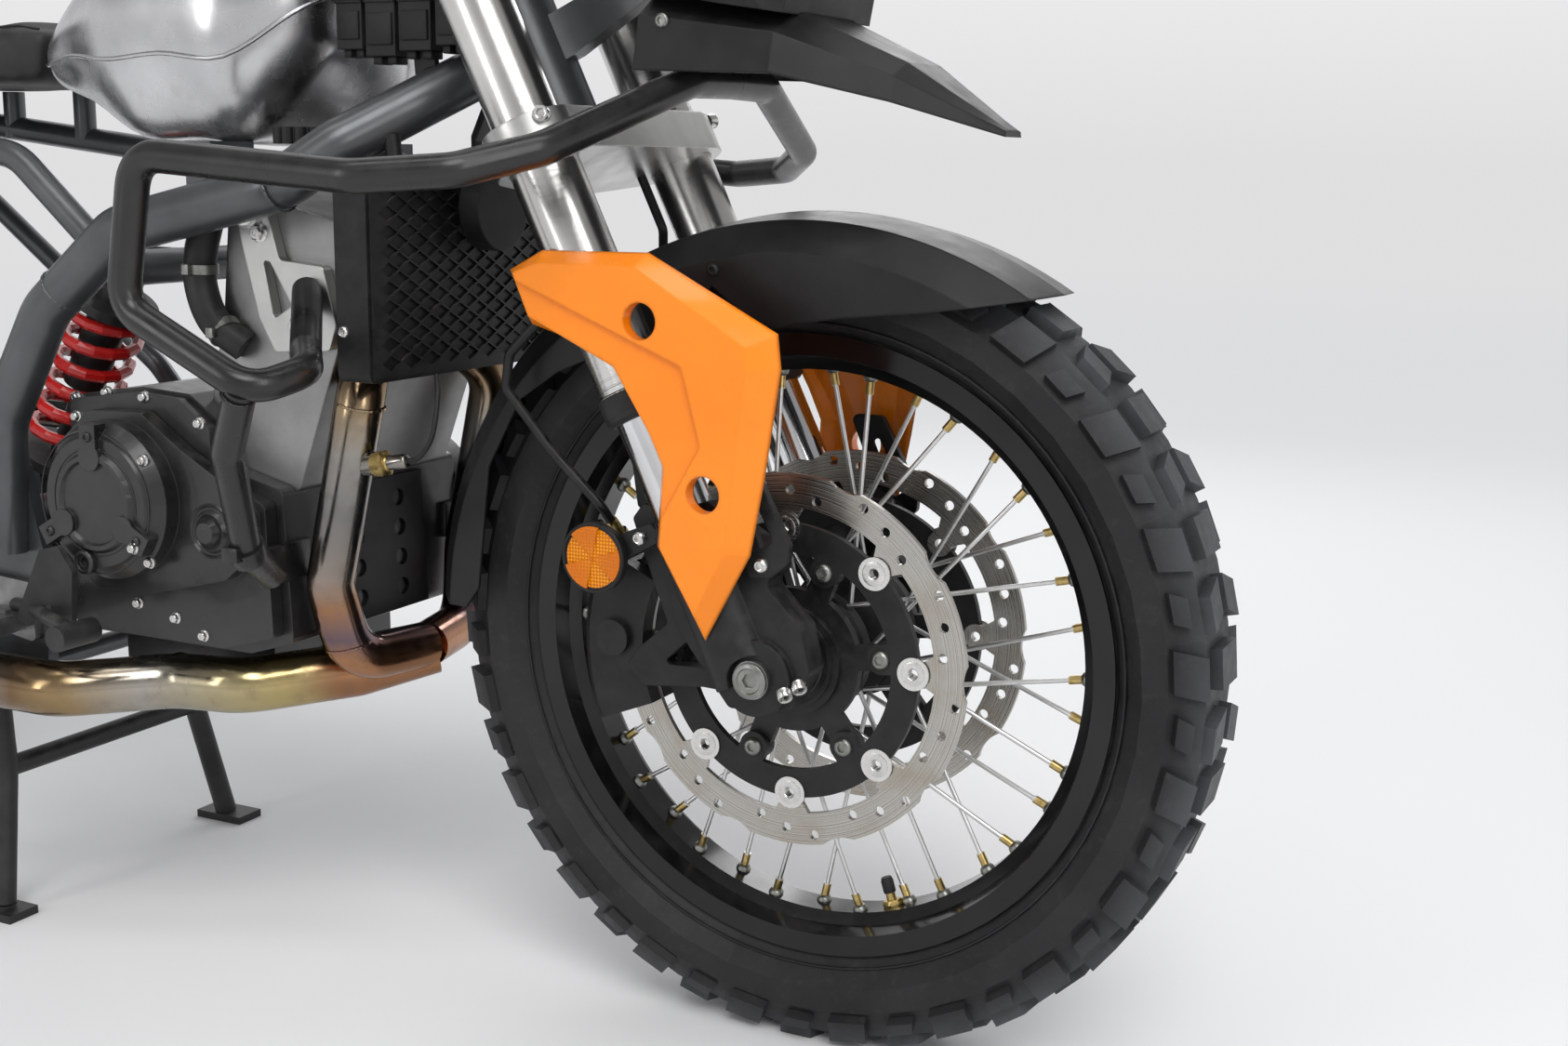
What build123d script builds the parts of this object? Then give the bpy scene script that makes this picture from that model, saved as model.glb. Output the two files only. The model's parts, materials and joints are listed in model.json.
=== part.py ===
from build123d import *
import os
from math import asin, atan2, cos, hypot, pi, radians, sin, tan

# Sizes in millimetres. The pieces are built about the front axle, X forward, Y left, Z up,
# and are moved at the end so that the origin lies on the floor under the middle of the machine.

# Stance
WHEELBASE = 1425.0
REAR_TYRE_LIFT = 12.0
TAIL_REACH = 1790.0
RAKE_DEG = 25.7

# Front wheel
FRONT_TYRE_R = 332.0
FRONT_TYRE_W = 110.0
FRONT_SEAT_R = 241.3
FRONT_RIM_HALF = 32.0
FRONT_LUG_COUNT = 42
FRONT_LUG_H = 9.0

# Rear wheel
REAR_TYRE_R = 321.0
REAR_TYRE_W = 150.0
REAR_SEAT_R = 218.0
REAR_RIM_HALF = 52.0
REAR_LUG_COUNT = 26
REAR_LUG_H = 9.0

# Rims and spokes
FLANGE_H = 14.0
FLANGE_T = 4.0
RIM_WALL = 7.0
SPOKE_R = 1.9
NIPPLE_R = 3.4
NIPPLE_L = 14.0
SPOKE_COUNT = 36
HUB_FLANGE_R = 52.0
HUB_FLANGE_T = 6.0

# Clearances
SEAT_GAP = 0.3
FIT_GAP = 0.05
PAD_GAP = 1.2

# Axles
AXLE_R = 10.0
AXLE_HEX_R = 15.0
AXLE_COLLAR_R = 17.0

# Front brake
DISC_R = 150.0
DISC_INNER_R = 124.0
DISC_T = 4.5
DISC_Y = 66.0
DISC_WAVES = 10
DISC_WAVE_R = 30.0
DISC_WAVE_DEPTH = 4.0
DISC_HOLE_R = 4.0
BUTTON_R = 10.5
BUTTON_FLANGE_R = 13.0
BUTTON_FLANGE_T = 1.5
BUTTON_BORE_R = 4.0
BUTTON_CIRCLE_R = 107.0
BUTTON_COUNT = 8
BUTTON_PHASE = 2.0
CARRIER_OUTER_R = 111.0
CARRIER_INNER_R = 88.0
CARRIER_T = 6.0
CARRIER_EYE_R = 12.0
CARRIER_BOLT_CIRCLE_R = 80.0
CARRIER_BOLT_COUNT = 6
CARRIER_BOLT_PHASE = 8.0
HUB_DISC_FLANGE_R = 58.0
HUB_PILOT_R = 44.0

# Fork
FORK_Y = 108.0
FORK_SETBACK = 12.0
STEM_SETBACK = 30.0
OUTER_TUBE_R = 28.0
INNER_TUBE_R = 24.0
SEAL_R = 30.5
FOOT_R = 30.0
FOOT_TOP = 128.0
INNER_TUBE_BOTTOM = 70.0
INNER_TUBE_TOP = 300.0
OUTER_TUBE_BOTTOM = 235.0
OUTER_TUBE_TOP = 668.0
LOWER_CLAMP_AT = 428.0
LOWER_CLAMP_T = 34.0
UPPER_CLAMP_AT = 640.0
UPPER_CLAMP_T = 24.0
CLAMP_RING_WALL = 10.0
STEM_R = 15.0
HEAD_TUBE_R = 30.0
LUG_OUTER_Y = 128.0
CALIPER_OUTER_Y = 83.6
LUG_INNER_Y = CALIPER_OUTER_Y + 0.4

# Handlebar
BAR_R = 11.0
BAR_CENTRE_R = 14.0
BAR_FORWARD = -18.0
BAR_UP = 716.0
BAR_HALF = 435.0
RISER_Y = 50.0
GRIP_R = 17.0
GRIP_L = 128.0

# Frame
SPAR_R = 21.0
PIVOT_X = -775.0
PIVOT_Z = 45.0
PIVOT_SHAFT_R = 10.0
PLATE_INNER_Y = 140.0
PLATE_T = 12.0
RAIL_R = 12.5
CRASH_BAR_R = 12.7
TANK_PAD_Y = 124.0
TANK_PAD_REACH = 84.0
TANK_FLOOR_Z = 398.0

# Swingarm and chain
ARM_INNER_Y = 115.0
ARM_T = 23.0
CHAIN_Y = 102.0
CHAIN_PITCH = 15.875
CHAIN_W = 18.0
CHAIN_H = 13.0
LINK_NOTCH_L = 9.0
LINK_NOTCH_DEPTH = 5.0
FRONT_TEETH = 17
REAR_TEETH = 42
FRONT_SPROCKET_X = -700.0
FRONT_SPROCKET_Z = 62.0

# Shock absorber eyes
SHOCK_HIGH = (-742.0, 0.0, 285.0)
SHOCK_LOW = (-868.0, 0.0, 62.0)

# Rear brake
REAR_DISC_R = 128.0
REAR_DISC_T = 5.0
REAR_DISC_Y = -88.0

# Stands
CENTRE_STAND_X = -815.0
CENTRE_STAND_Z = -105.0
STAND_PIN_R = 10.0
SIDE_STAND_PIVOT = (-690.0, 176.0, -80.0)
SIDE_STAND_L = 262.0

# Engine
CLUTCH_X = -619.0
CLUTCH_Z = 88.0
CLUTCH_R = 70.0
CLUTCH_FACE_Y = 178.0
PUMP_X = -513.0
PUMP_Z = 68.0
CASE_HALF = 122.0
HEADER_R = 21.0
MAIN_PIPE_R = 25.0

# Derived places
RAKE = radians(RAKE_DEG)
UP_FORK = Vector(-sin(RAKE), 0, cos(RAKE))
AHEAD_FORK = Vector(cos(RAKE), 0, sin(RAKE))
FLOOR_Z = -FRONT_TYRE_R
REAR_AXLE_Z = REAR_TYRE_R + REAR_TYRE_LIFT - FRONT_TYRE_R
REAR_AXLE = Vector(-WHEELBASE, 0, REAR_AXLE_Z)
FORK_FRAME = Plane(origin=AHEAD_FORK * -FORK_SETBACK, x_dir=AHEAD_FORK, z_dir=UP_FORK)
WHEEL_SECTION = Plane(origin=(0, 0, 0), x_dir=(0, 1, 0), z_dir=(1, 0, 0))
ORIGIN_SHIFT = Pos((TAIL_REACH - FRONT_TYRE_R) / 2, 0, FRONT_TYRE_R)

NODES = {}


# Shape helpers
def add(name, shape):
    """Keep one named piece."""
    NODES[name] = shape


def fork_point(ahead, side, along):
    """Point given along the fork legs, in the front-axle frame."""
    return AHEAD_FORK * (ahead - FORK_SETBACK) + UP_FORK * along + Vector(0, side, 0)


def rod(start, end, radius):
    """Round bar between two points."""
    start = Vector(*start)
    axis = Vector(*end) - start
    return Solid.make_cylinder(radius, axis.length, Plane(origin=start, z_dir=axis))


def bent_tube(points, radius, bend):
    """Round tube through points, with an arc at each corner."""
    path = FilletPolyline(*points, radius=bend)
    section = Plane(origin=path @ 0, z_dir=path % 0) * Circle(radius)
    return sweep(section, path=path).solid()


def side_plate(outline, y_a, y_b, corner=0.0):
    """Plate cut to a side-view outline of (x, z) points, between two widths."""
    face = Polygon(*outline, align=None)
    if corner:
        face = fillet(face.vertices(), radius=corner)
    plane = Plane(origin=(0, max(y_a, y_b), 0), x_dir=(1, 0, 0), z_dir=(0, -1, 0))
    return extrude(plane * face, amount=abs(y_a - y_b), dir=(0, -1, 0))


def top_plate(outline, z_a, z_b, corner=0.0):
    """Plate cut to a top-view outline of (x, y) points, between two heights."""
    face = Polygon(*outline, align=None)
    if corner:
        face = fillet(face.vertices(), radius=corner)
    return extrude(Pos(0, 0, min(z_a, z_b)) * face, amount=abs(z_a - z_b), dir=(0, 0, 1))


def front_plate(outline, x_a, x_b, corner=0.0):
    """Plate cut to a front-view outline of (y, z) points, between two stations."""
    face = Polygon(*outline, align=None)
    if corner:
        face = fillet(face.vertices(), radius=corner)
    plane = Plane(origin=(min(x_a, x_b), 0, 0), x_dir=(0, 1, 0), z_dir=(1, 0, 0))
    return extrude(plane * face, amount=abs(x_a - x_b), dir=(1, 0, 0))


def mirrored_outline(half):
    """Outline of (a, b) points closed by its mirror image about a = 0."""
    return list(half) + [(-a, b) for a, b in reversed(half)]


def both_sides(shape):
    """A right-hand shape and its mirror image, kept apart."""
    return Compound(children=[*shape.solids(), *mirror(shape, about=Plane.XZ).solids()])


def spun(outline, start_deg=0.0, arc_deg=360.0):
    """Solid of revolution about the wheel axis from (y, r) points; angles run from +X to +Z."""
    face = WHEEL_SECTION * Polygon(*outline, align=None)
    solid = revolve(face, axis=Axis.Y, revolution_arc=arc_deg)
    if arc_deg == 360.0:
        return solid
    return Rot(0, 90.0 - start_deg, 0) * (Rot(0, -arc_deg, 0) * solid)


def polar(radius, angle_deg, y=0.0):
    """Point on a circle about the wheel axis; angles run from +X to +Z."""
    return Vector(radius * cos(radians(angle_deg)), y, radius * sin(radians(angle_deg)))


# Wheel pieces, about the wheel axis
# Tread blocks of one row. Columns: band (0 crown, 1 shoulder on both sides), place along the row,
# length along the tyre, inner and outer edge across the band as shares of it, slant of the ends.
# Lengths along the tyre are shares of the pitch.
ROW_WIDE = (
    (0, 0.0, 0.62, -0.62, 0.62, 0.0),
    (1, 0.0, 0.66, 0.0, 0.92, 0.08),
)
ROW_SPLIT = (
    (0, 0.02, 0.56, 0.20, 1.0, 0.10),
    (0, 0.02, 0.56, -1.0, -0.20, -0.10),
    (1, 0.04, 0.46, 0.34, 0.80, 0.06),
)


def tread_row(profile, pitch, outer_r, blocks):
    """One row's sector of the tyre, with its tread blocks, at the top of the wheel."""
    crown_half, crown_r = profile[-1]
    side_half, side_r = profile[-2]
    half_turn = pi / round(2 * pi * outer_r / pitch)
    reach = outer_r * tan(half_turn) + 5.0
    ring = list(profile) + [(-y, r) for y, r in reversed(profile)]
    bar = extrude(WHEEL_SECTION * Polygon(*ring, align=None), amount=reach, both=True)
    wedge_r = outer_r + 40.0
    wedge_x = wedge_r * tan(half_turn)
    wedge = side_plate(((0, 0), (wedge_x, wedge_r), (-wedge_x, wedge_r)), -outer_r, outer_r)
    sector = (bar & wedge).solid()
    drop = atan2(crown_r - side_r, side_half - crown_half)
    run = hypot(crown_r - side_r, side_half - crown_half)
    sunk = 1.0
    lugs = []
    for band, along, length, inner, outer, slant in blocks:
        for side in ((1,) if band == 0 else (1, -1)):
            if band == 0:
                place = Plane(origin=(0, 0, crown_r - sunk), x_dir=(1, 0, 0), z_dir=(0, 0, 1))
                across = crown_half
                height = outer_r - crown_r + sunk
            else:
                normal = (0, side * sin(drop), cos(drop))
                start = Vector(0, side * crown_half, crown_r) - Vector(*normal) * sunk
                place = Plane(origin=start, x_dir=(side, 0, 0), z_dir=normal)
                across = run
                height = 0.9 * (outer_r - crown_r) + sunk
            near = (along - length / 2) * pitch
            far = (along + length / 2) * pitch
            lean = slant * pitch
            outline = ((near - lean, inner * across), (far - lean, inner * across),
                       (far + lean, outer * across), (near + lean, outer * across))
            lugs.append(extrude(place * Polygon(*outline, align=None), amount=height).solid())
    return sector.fuse(*lugs).solid()


def tyre(seat_r, rim_half, width, outer_r, lug_h, rows):
    """Tyre with alternate rows of wide and split tread blocks."""
    crown_r = outer_r - lug_h
    wall = crown_r - seat_r
    bead = rim_half - SEAT_GAP
    side = width / 2 - 0.62 * lug_h
    profile = (
        (bead, seat_r + 2 * SEAT_GAP),
        (bead, seat_r + FLANGE_H + SEAT_GAP),
        (side, seat_r + 0.46 * wall),
        (side, crown_r - 0.30 * wall),
        (0.62 * width / 2, crown_r),
    )
    pitch = 2 * pi * outer_r / rows
    kinds = [tread_row(profile, pitch, outer_r, blocks) for blocks in (ROW_WIDE, ROW_SPLIT)]
    sectors = [Rot(0, 360.0 / rows * index, 0) * kinds[index % 2] for index in range(rows)]
    return sectors[0].fuse(*sectors[1:]).solid()


def rim(seat_r, rim_half):
    """Spoked rim with bead flanges and a drop centre."""
    outer = rim_half + FLANGE_T
    well = rim_half * 0.36
    half = [
        (0.0, seat_r - 9.0),
        (well, seat_r - 9.0),
        (well + 6.0, seat_r - 1.0),
        (rim_half, seat_r),
        (rim_half, seat_r + FLANGE_H),
        (outer, seat_r + FLANGE_H),
        (outer, seat_r - 3.0),
        (well + 9.0, seat_r - RIM_WALL),
        (well + 3.0, seat_r - 9.0 - RIM_WALL),
        (0.0, seat_r - 9.0 - RIM_WALL),
    ]
    outline = half + [(-y, r) for y, r in reversed(half[1:-1])]
    return spun(outline)


def spokes(seat_r, rim_half, hub_y, hub_r):
    """Crossed spokes with nipples, from the hub flanges to the rim well."""
    well_r = seat_r - 9.0 - RIM_WALL - SEAT_GAP
    pieces = []
    for index in range(SPOKE_COUNT):
        side = 1 if index % 2 else -1
        lean = 1 if (index // 2) % 2 else -1
        rim_angle = 360.0 / SPOKE_COUNT * index
        hub_angle = rim_angle + lean * 30.0
        inset = 3.2 * lean
        outer_end = polar(well_r - 0.6, rim_angle, side * rim_half * 0.2)
        outward = polar(1.0, hub_angle)
        toward = outer_end - polar(hub_r, hub_angle, side * (hub_y + inset))
        dip = SPOKE_R * toward.cross(outward).length / toward.length
        inner_end = polar(hub_r + SEAT_GAP + dip, hub_angle, side * (hub_y + inset))
        axis = (outer_end - inner_end).normalized()
        wire = rod(inner_end, outer_end, SPOKE_R)
        nipple = rod(outer_end - axis * NIPPLE_L, outer_end, NIPPLE_R)
        pieces.append(wire.fuse(nipple))
    return Compound(children=[solid for piece in pieces for solid in piece.solids()])


def drilled_ring(outer_r, inner_r, thickness, y, holes, hole_circle_r, hole_r):
    """Flat brake ring about the wheel axis, with a circle of holes."""
    ring = spun([
        (y - thickness / 2, inner_r), (y - thickness / 2, outer_r),
        (y + thickness / 2, outer_r), (y + thickness / 2, inner_r),
    ])
    cutters = []
    for index in range(holes):
        angle = 360.0 / holes * index
        at_r = hole_circle_r + (8.0 if index % 2 else -5.0)
        cutters.append(rod(polar(at_r, angle, y - thickness), polar(at_r, angle, y + thickness), hole_r))
    return ring.cut(*cutters) if cutters else ring


# Front wheel
# Columns: angle from the middle of a wave, radius of the hole's centre
WAVE_HOLES = ((-10.0, 131.0), (0.0, 137.0), (10.0, 142.0))
FRONT_HUB_Y = 30.0
FRONT_HUB_END = 71.0
HUB_ARM_T = 8.0


def disc_plate(face, y_low, y_high):
    """Flat plate about the wheel axis from a face drawn in (x, z)."""
    plane = Plane(origin=(0, y_high, 0), x_dir=(1, 0, 0), z_dir=(0, -1, 0))
    return extrude(plane * face, amount=y_high - y_low, dir=(0, -1, 0)).solid()


def around(shape, count, phase):
    """Copies of a drawn shape turned about the wheel axis."""
    return [Rot(0, 0, 360.0 / count * index + phase) * shape for index in range(count)]


def wave_rotor():
    """Face of the front rotor: waved rim, three holes to a wave and a lug at each button."""
    lug_tip = BUTTON_R - 2.0
    lug = Polygon((BUTTON_CIRCLE_R, -lug_tip), (CARRIER_OUTER_R + 2.0, -lug_tip), (DISC_INNER_R + 3.0, -2 * lug_tip),
                  (DISC_INNER_R + 3.0, 2 * lug_tip), (CARRIER_OUTER_R + 2.0, lug_tip), (BUTTON_CIRCLE_R, lug_tip),
                  align=None)
    scallop = Pos(DISC_R + DISC_WAVE_R - DISC_WAVE_DEPTH, 0) * Circle(DISC_WAVE_R)
    holes = []
    for turn, radius in WAVE_HOLES:
        holes.extend(around(Rot(0, 0, turn) * Pos(radius, 0) * Circle(DISC_HOLE_R), DISC_WAVES, 180.0 / DISC_WAVES))
    ring = Circle(DISC_R) - Circle(DISC_INNER_R)
    return ring + around(lug, BUTTON_COUNT, BUTTON_PHASE) - around(scallop, DISC_WAVES, 0.0) - holes


def carrier_face():
    """Face of the disc carrier: ring with bolt eyes inside and button notches outside."""
    eye = Pos(CARRIER_BOLT_CIRCLE_R, 0) * Circle(CARRIER_EYE_R)
    web = Pos(CARRIER_INNER_R, 0) * Rectangle(CARRIER_EYE_R, 2 * CARRIER_EYE_R)
    notch = Pos(BUTTON_CIRCLE_R, 0) * Circle(BUTTON_R + SEAT_GAP)
    ring = Circle(CARRIER_OUTER_R) - Circle(CARRIER_INNER_R)
    ring = ring + around(eye + web, CARRIER_BOLT_COUNT, CARRIER_BOLT_PHASE)
    return ring - around(notch, BUTTON_COUNT, BUTTON_PHASE)


def front_wheel():
    add("front_tyre", tyre(FRONT_SEAT_R, FRONT_RIM_HALF, FRONT_TYRE_W, FRONT_TYRE_R,
                           FRONT_LUG_H, FRONT_LUG_COUNT))
    add("front_rim", rim(FRONT_SEAT_R, FRONT_RIM_HALF))
    add("front_spokes", spokes(FRONT_SEAT_R, FRONT_RIM_HALF, FRONT_HUB_Y, HUB_FLANGE_R))
    bore = AXLE_R + FIT_GAP
    disc_side = DISC_Y - CARRIER_T / 2 - SEAT_GAP
    half = [
        (0.0, bore),
        (FRONT_HUB_END, bore),
        (FRONT_HUB_END, 20.0),
        (disc_side + CARRIER_T, 24.0),
        (disc_side + CARRIER_T, HUB_PILOT_R),
        (disc_side, HUB_PILOT_R),
        (disc_side, HUB_DISC_FLANGE_R),
        (disc_side - HUB_ARM_T, HUB_DISC_FLANGE_R),
        (FRONT_HUB_Y + 14.0, 40.0),
        (FRONT_HUB_Y + HUB_FLANGE_T, HUB_FLANGE_R),
        (FRONT_HUB_Y - HUB_FLANGE_T, HUB_FLANGE_R),
        (FRONT_HUB_Y - 12.0, 30.0),
        (0.0, 30.0),
    ]
    hub = spun(half + [(-y, r) for y, r in reversed(half[1:-1])]).solid()
    arm_l = CARRIER_BOLT_CIRCLE_R - HUB_PILOT_R
    arm = Pos(HUB_PILOT_R + arm_l / 2, 0) * Rectangle(arm_l, 2 * CARRIER_EYE_R - 4.0)
    arm = arm + Pos(CARRIER_BOLT_CIRCLE_R, 0) * Circle(CARRIER_EYE_R)
    star = Circle(HUB_DISC_FLANGE_R - 1.0) - Circle(HUB_PILOT_R - 1.0)
    star = star + around(arm, CARRIER_BOLT_COUNT, CARRIER_BOLT_PHASE)
    arms = [disc_plate(star, disc_side - HUB_ARM_T, disc_side), disc_plate(star, -disc_side, HUB_ARM_T - disc_side)]
    add("front_hub", hub.fuse(*arms))
    rotors = []
    carriers = []
    face = wave_rotor()
    ring = carrier_face()
    for side in (-1, 1):
        y = side * DISC_Y
        skin = y + side * (CARRIER_T / 2 + SEAT_GAP)
        outside = skin + side * BUTTON_FLANGE_T
        shape = disc_plate(face, y - DISC_T / 2, y + DISC_T / 2)
        bores = []
        for index in range(BUTTON_COUNT):
            angle = 360.0 / BUTTON_COUNT * index + BUTTON_PHASE
            near = polar(BUTTON_CIRCLE_R, angle, y - side * CARRIER_T / 2)
            shape = shape.fuse(rod(near, polar(BUTTON_CIRCLE_R, angle, outside), BUTTON_R),
                               rod(polar(BUTTON_CIRCLE_R, angle, skin), polar(BUTTON_CIRCLE_R, angle, outside),
                                   BUTTON_FLANGE_R))
            bores.append(rod(polar(BUTTON_CIRCLE_R, angle, y - 20.0), polar(BUTTON_CIRCLE_R, angle, y + 20.0),
                             BUTTON_BORE_R))
        rotors.append(shape.cut(*bores).solid())
        carriers.append(disc_plate(ring, y - CARRIER_T / 2, y + CARRIER_T / 2))
    add("front_disc_rotors", Compound(children=rotors))
    add("front_disc_carriers", Compound(children=carriers))


# Rear wheel
REAR_HUB_Y = 34.0
SPROCKET_TIP_GAP = 1.0


def rear_wheel():
    place = Pos(*REAR_AXLE)
    add("rear_tyre", place * tyre(REAR_SEAT_R, REAR_RIM_HALF, REAR_TYRE_W, REAR_TYRE_R,
                                  REAR_LUG_H, REAR_LUG_COUNT))
    add("rear_rim", place * rim(REAR_SEAT_R, REAR_RIM_HALF))
    add("rear_spokes", place * spokes(REAR_SEAT_R, REAR_RIM_HALF, REAR_HUB_Y, HUB_FLANGE_R))
    bore = AXLE_R + FIT_GAP
    disc_face = abs(REAR_DISC_Y) - REAR_DISC_T / 2 - SEAT_GAP
    sprocket_face = CHAIN_Y - 3.0 - SEAT_GAP
    outline = [
        (-disc_face - 8.0, bore), (sprocket_face + 8.0, bore), (sprocket_face + 8.0, 30.0),
        (sprocket_face, 30.0), (sprocket_face, 72.0), (sprocket_face - 14.0, 72.0),
        (REAR_HUB_Y + 14.0, 46.0), (REAR_HUB_Y + HUB_FLANGE_T, HUB_FLANGE_R),
        (REAR_HUB_Y - HUB_FLANGE_T, HUB_FLANGE_R), (REAR_HUB_Y - 12.0, 32.0),
        (-REAR_HUB_Y + 12.0, 32.0), (-REAR_HUB_Y + HUB_FLANGE_T, HUB_FLANGE_R),
        (-REAR_HUB_Y - HUB_FLANGE_T, HUB_FLANGE_R), (-REAR_HUB_Y - 14.0, 40.0),
        (-disc_face + 6.0, 56.0), (-disc_face, 56.0), (-disc_face, 30.0), (-disc_face - 8.0, 30.0),
    ]
    add("rear_hub", place * spun(outline))
    rotor = drilled_ring(REAR_DISC_R, 32.0, REAR_DISC_T, REAR_DISC_Y, 18, REAR_DISC_R - 18.0, DISC_HOLE_R)
    windows = []
    for index in range(6):
        angle = 360.0 / 6 * index
        windows.append(rod(polar(78.0, angle, REAR_DISC_Y - 6.0), polar(78.0, angle, REAR_DISC_Y + 6.0), 15.0))
    add("rear_disc", place * rotor.cut(*windows))
    pitch_r = CHAIN_PITCH / (2 * sin(pi / REAR_TEETH))
    tip_r = pitch_r * cos(pi / (REAR_TEETH / 2)) - CHAIN_H / 2 - SPROCKET_TIP_GAP
    teeth = []
    for index in range(REAR_TEETH):
        mid = 360.0 / REAR_TEETH * index
        half_root = 360.0 / REAR_TEETH * 0.36
        half_tip = 360.0 / REAR_TEETH * 0.14
        for radius, angle in ((tip_r - 6.0, mid - half_root), (tip_r, mid - half_tip),
                              (tip_r, mid + half_tip), (tip_r - 6.0, mid + half_root)):
            point = polar(radius, angle)
            teeth.append((point.X, point.Z))
    blank = side_plate(teeth, CHAIN_Y - 3.0, CHAIN_Y + 3.0)
    holes = [rod((0, 0, 0), (0, CHAIN_Y + 10.0, 0), 32.0)]
    for index in range(6):
        angle = 60.0 * index
        holes.append(rod(polar(72.0 + 10.0, angle, 80.0), polar(82.0, angle, 120.0), 9.0))
    add("rear_sprocket", place * blank.cut(*holes))


# Steering group
def fork_block(length_ahead, width, along, ahead, side, start):
    """Box in the fork frame, given by its size and the middle of its lower face."""
    block = Box(length_ahead, width, along, align=(Align.CENTER, Align.CENTER, Align.MIN))
    return FORK_FRAME * Pos(ahead, side, start) * block


def fork_rod(ahead, side, start, end, radius):
    """Round bar parallel to the fork legs."""
    return rod(fork_point(ahead, side, start), fork_point(ahead, side, end), radius)


def fork_tubes():
    outer = fork_rod(0, -FORK_Y, OUTER_TUBE_BOTTOM, OUTER_TUBE_TOP, OUTER_TUBE_R)
    seal = fork_rod(0, -FORK_Y, OUTER_TUBE_BOTTOM - 13.0, OUTER_TUBE_BOTTOM + 6.0, SEAL_R)
    bore = fork_rod(0, -FORK_Y, OUTER_TUBE_BOTTOM - 20.0, INNER_TUBE_TOP + SEAT_GAP,
                    INNER_TUBE_R + SEAT_GAP)
    add("fork_outer_tubes", both_sides(outer.fuse(seal).cut(bore)))
    inner = fork_rod(0, -FORK_Y, INNER_TUBE_BOTTOM + SEAT_GAP, INNER_TUBE_TOP, INNER_TUBE_R)
    add("fork_inner_tubes", both_sides(inner))


def clamp_outline(ring_r, boss_r):
    """Convex outline round both fork legs and the stem, in the fork frame."""
    circles = []
    for side in (-FORK_Y, FORK_Y):
        circles.append(Pos(0, side) * Circle(ring_r))
    circles.append(Pos(-STEM_SETBACK, 0) * Circle(boss_r))
    return make_hull([edge for circle in circles for edge in circle.edges()])


def fork_clamps():
    ring_r = OUTER_TUBE_R + CLAMP_RING_WALL
    lower = extrude(clamp_outline(ring_r, HEAD_TUBE_R + 2.0), amount=LOWER_CLAMP_T)
    lower = FORK_FRAME * Pos(0, 0, LOWER_CLAMP_AT) * lower
    upper = extrude(clamp_outline(ring_r - 2.0, HEAD_TUBE_R), amount=UPPER_CLAMP_T)
    upper = FORK_FRAME * Pos(0, 0, UPPER_CLAMP_AT) * upper
    stem = fork_rod(-STEM_SETBACK, 0, LOWER_CLAMP_AT + 2.0, UPPER_CLAMP_AT + UPPER_CLAMP_T + 12.0, STEM_R)
    parts = [upper, stem]
    riser_top = BAR_UP + BAR_CENTRE_R + 8.0
    for side in (-RISER_Y, RISER_Y):
        parts.append(fork_rod(BAR_FORWARD, side, UPPER_CLAMP_AT + 4.0, BAR_UP - 6.0, 15.0))
        parts.append(fork_block(48.0, 30.0, riser_top - BAR_UP + BAR_CENTRE_R + 6.0, BAR_FORWARD, side,
                                BAR_UP - BAR_CENTRE_R - 6.0))
    body = lower.solid().fuse(*[piece.solid() for piece in parts])
    cutters = [fork_rod(0, side, 0, 900.0, OUTER_TUBE_R + SEAT_GAP) for side in (-FORK_Y, FORK_Y)]
    bar = fork_point(BAR_FORWARD, 0, BAR_UP)
    cutters.append(rod(bar - Vector(0, 90, 0), bar + Vector(0, 90, 0), BAR_CENTRE_R + SEAT_GAP))
    add("fork_clamps", body.cut(*cutters))


FOOT_BRACKET = (
    (-8.0, -24.0), (-60.0, -22.0), (-114.0, -28.0), (-130.0, -12.0), (-120.0, 2.0), (-92.0, 26.0),
    (-116.0, 86.0), (-124.0, 108.0), (-114.0, 121.0), (-92.0, 112.0), (-52.0, 74.0), (-24.0, 62.0),
)
FOOT_WINDOW = ((-50.0, -6.0), (-98.0, -8.0), (-74.0, 14.0), (-84.0, 44.0), (-58.0, 30.0))
CALIPER_INNER_Y = 44.0
CALIPER_INNER_R = 124.0
CALIPER_OUTER_R = 182.0
REFLECTOR_AT = (-148.0, -112.0, 77.0)
REFLECTOR_R = 28.0
GUARD_RIM_Y = 140.0
GUARD_INNER_Y = 143.0
GUARD_HOLLOW_Y = 148.5
GUARD_RECESS_Y = 152.0
GUARD_FACE_Y = 155.0
GUARD_WALL = 3.2
GUARD_BOSSES = ((-36.0, 64.0), (-62.0, 102.0))
GUARD_BOSS_R = 7.0
STAY_FOOT = (-112.0, 108.0)
STAY_BOSS_R = 6.0


FOOT_CASTING = (
    (-92, 118), (-44, 132), (-6, 108), (14, 98), (16, 82), (4, 74), (36, 42), (44, 8), (26, -24), (-24, -28),
    (-70, 30),
)
FOOT_CASTING_Y = 122.0
STRAP_OUTLINE = (
    (-36, 172), (-6, 172), (29, 106), (28, 92), (14, 80), (-4, 78), (-12, 90), (-14, 120),
)
STRAP_SLOT = ((-16, 150), (-8, 153), (15, 108), (6, 101))
STRAP_T = 6.0


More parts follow.
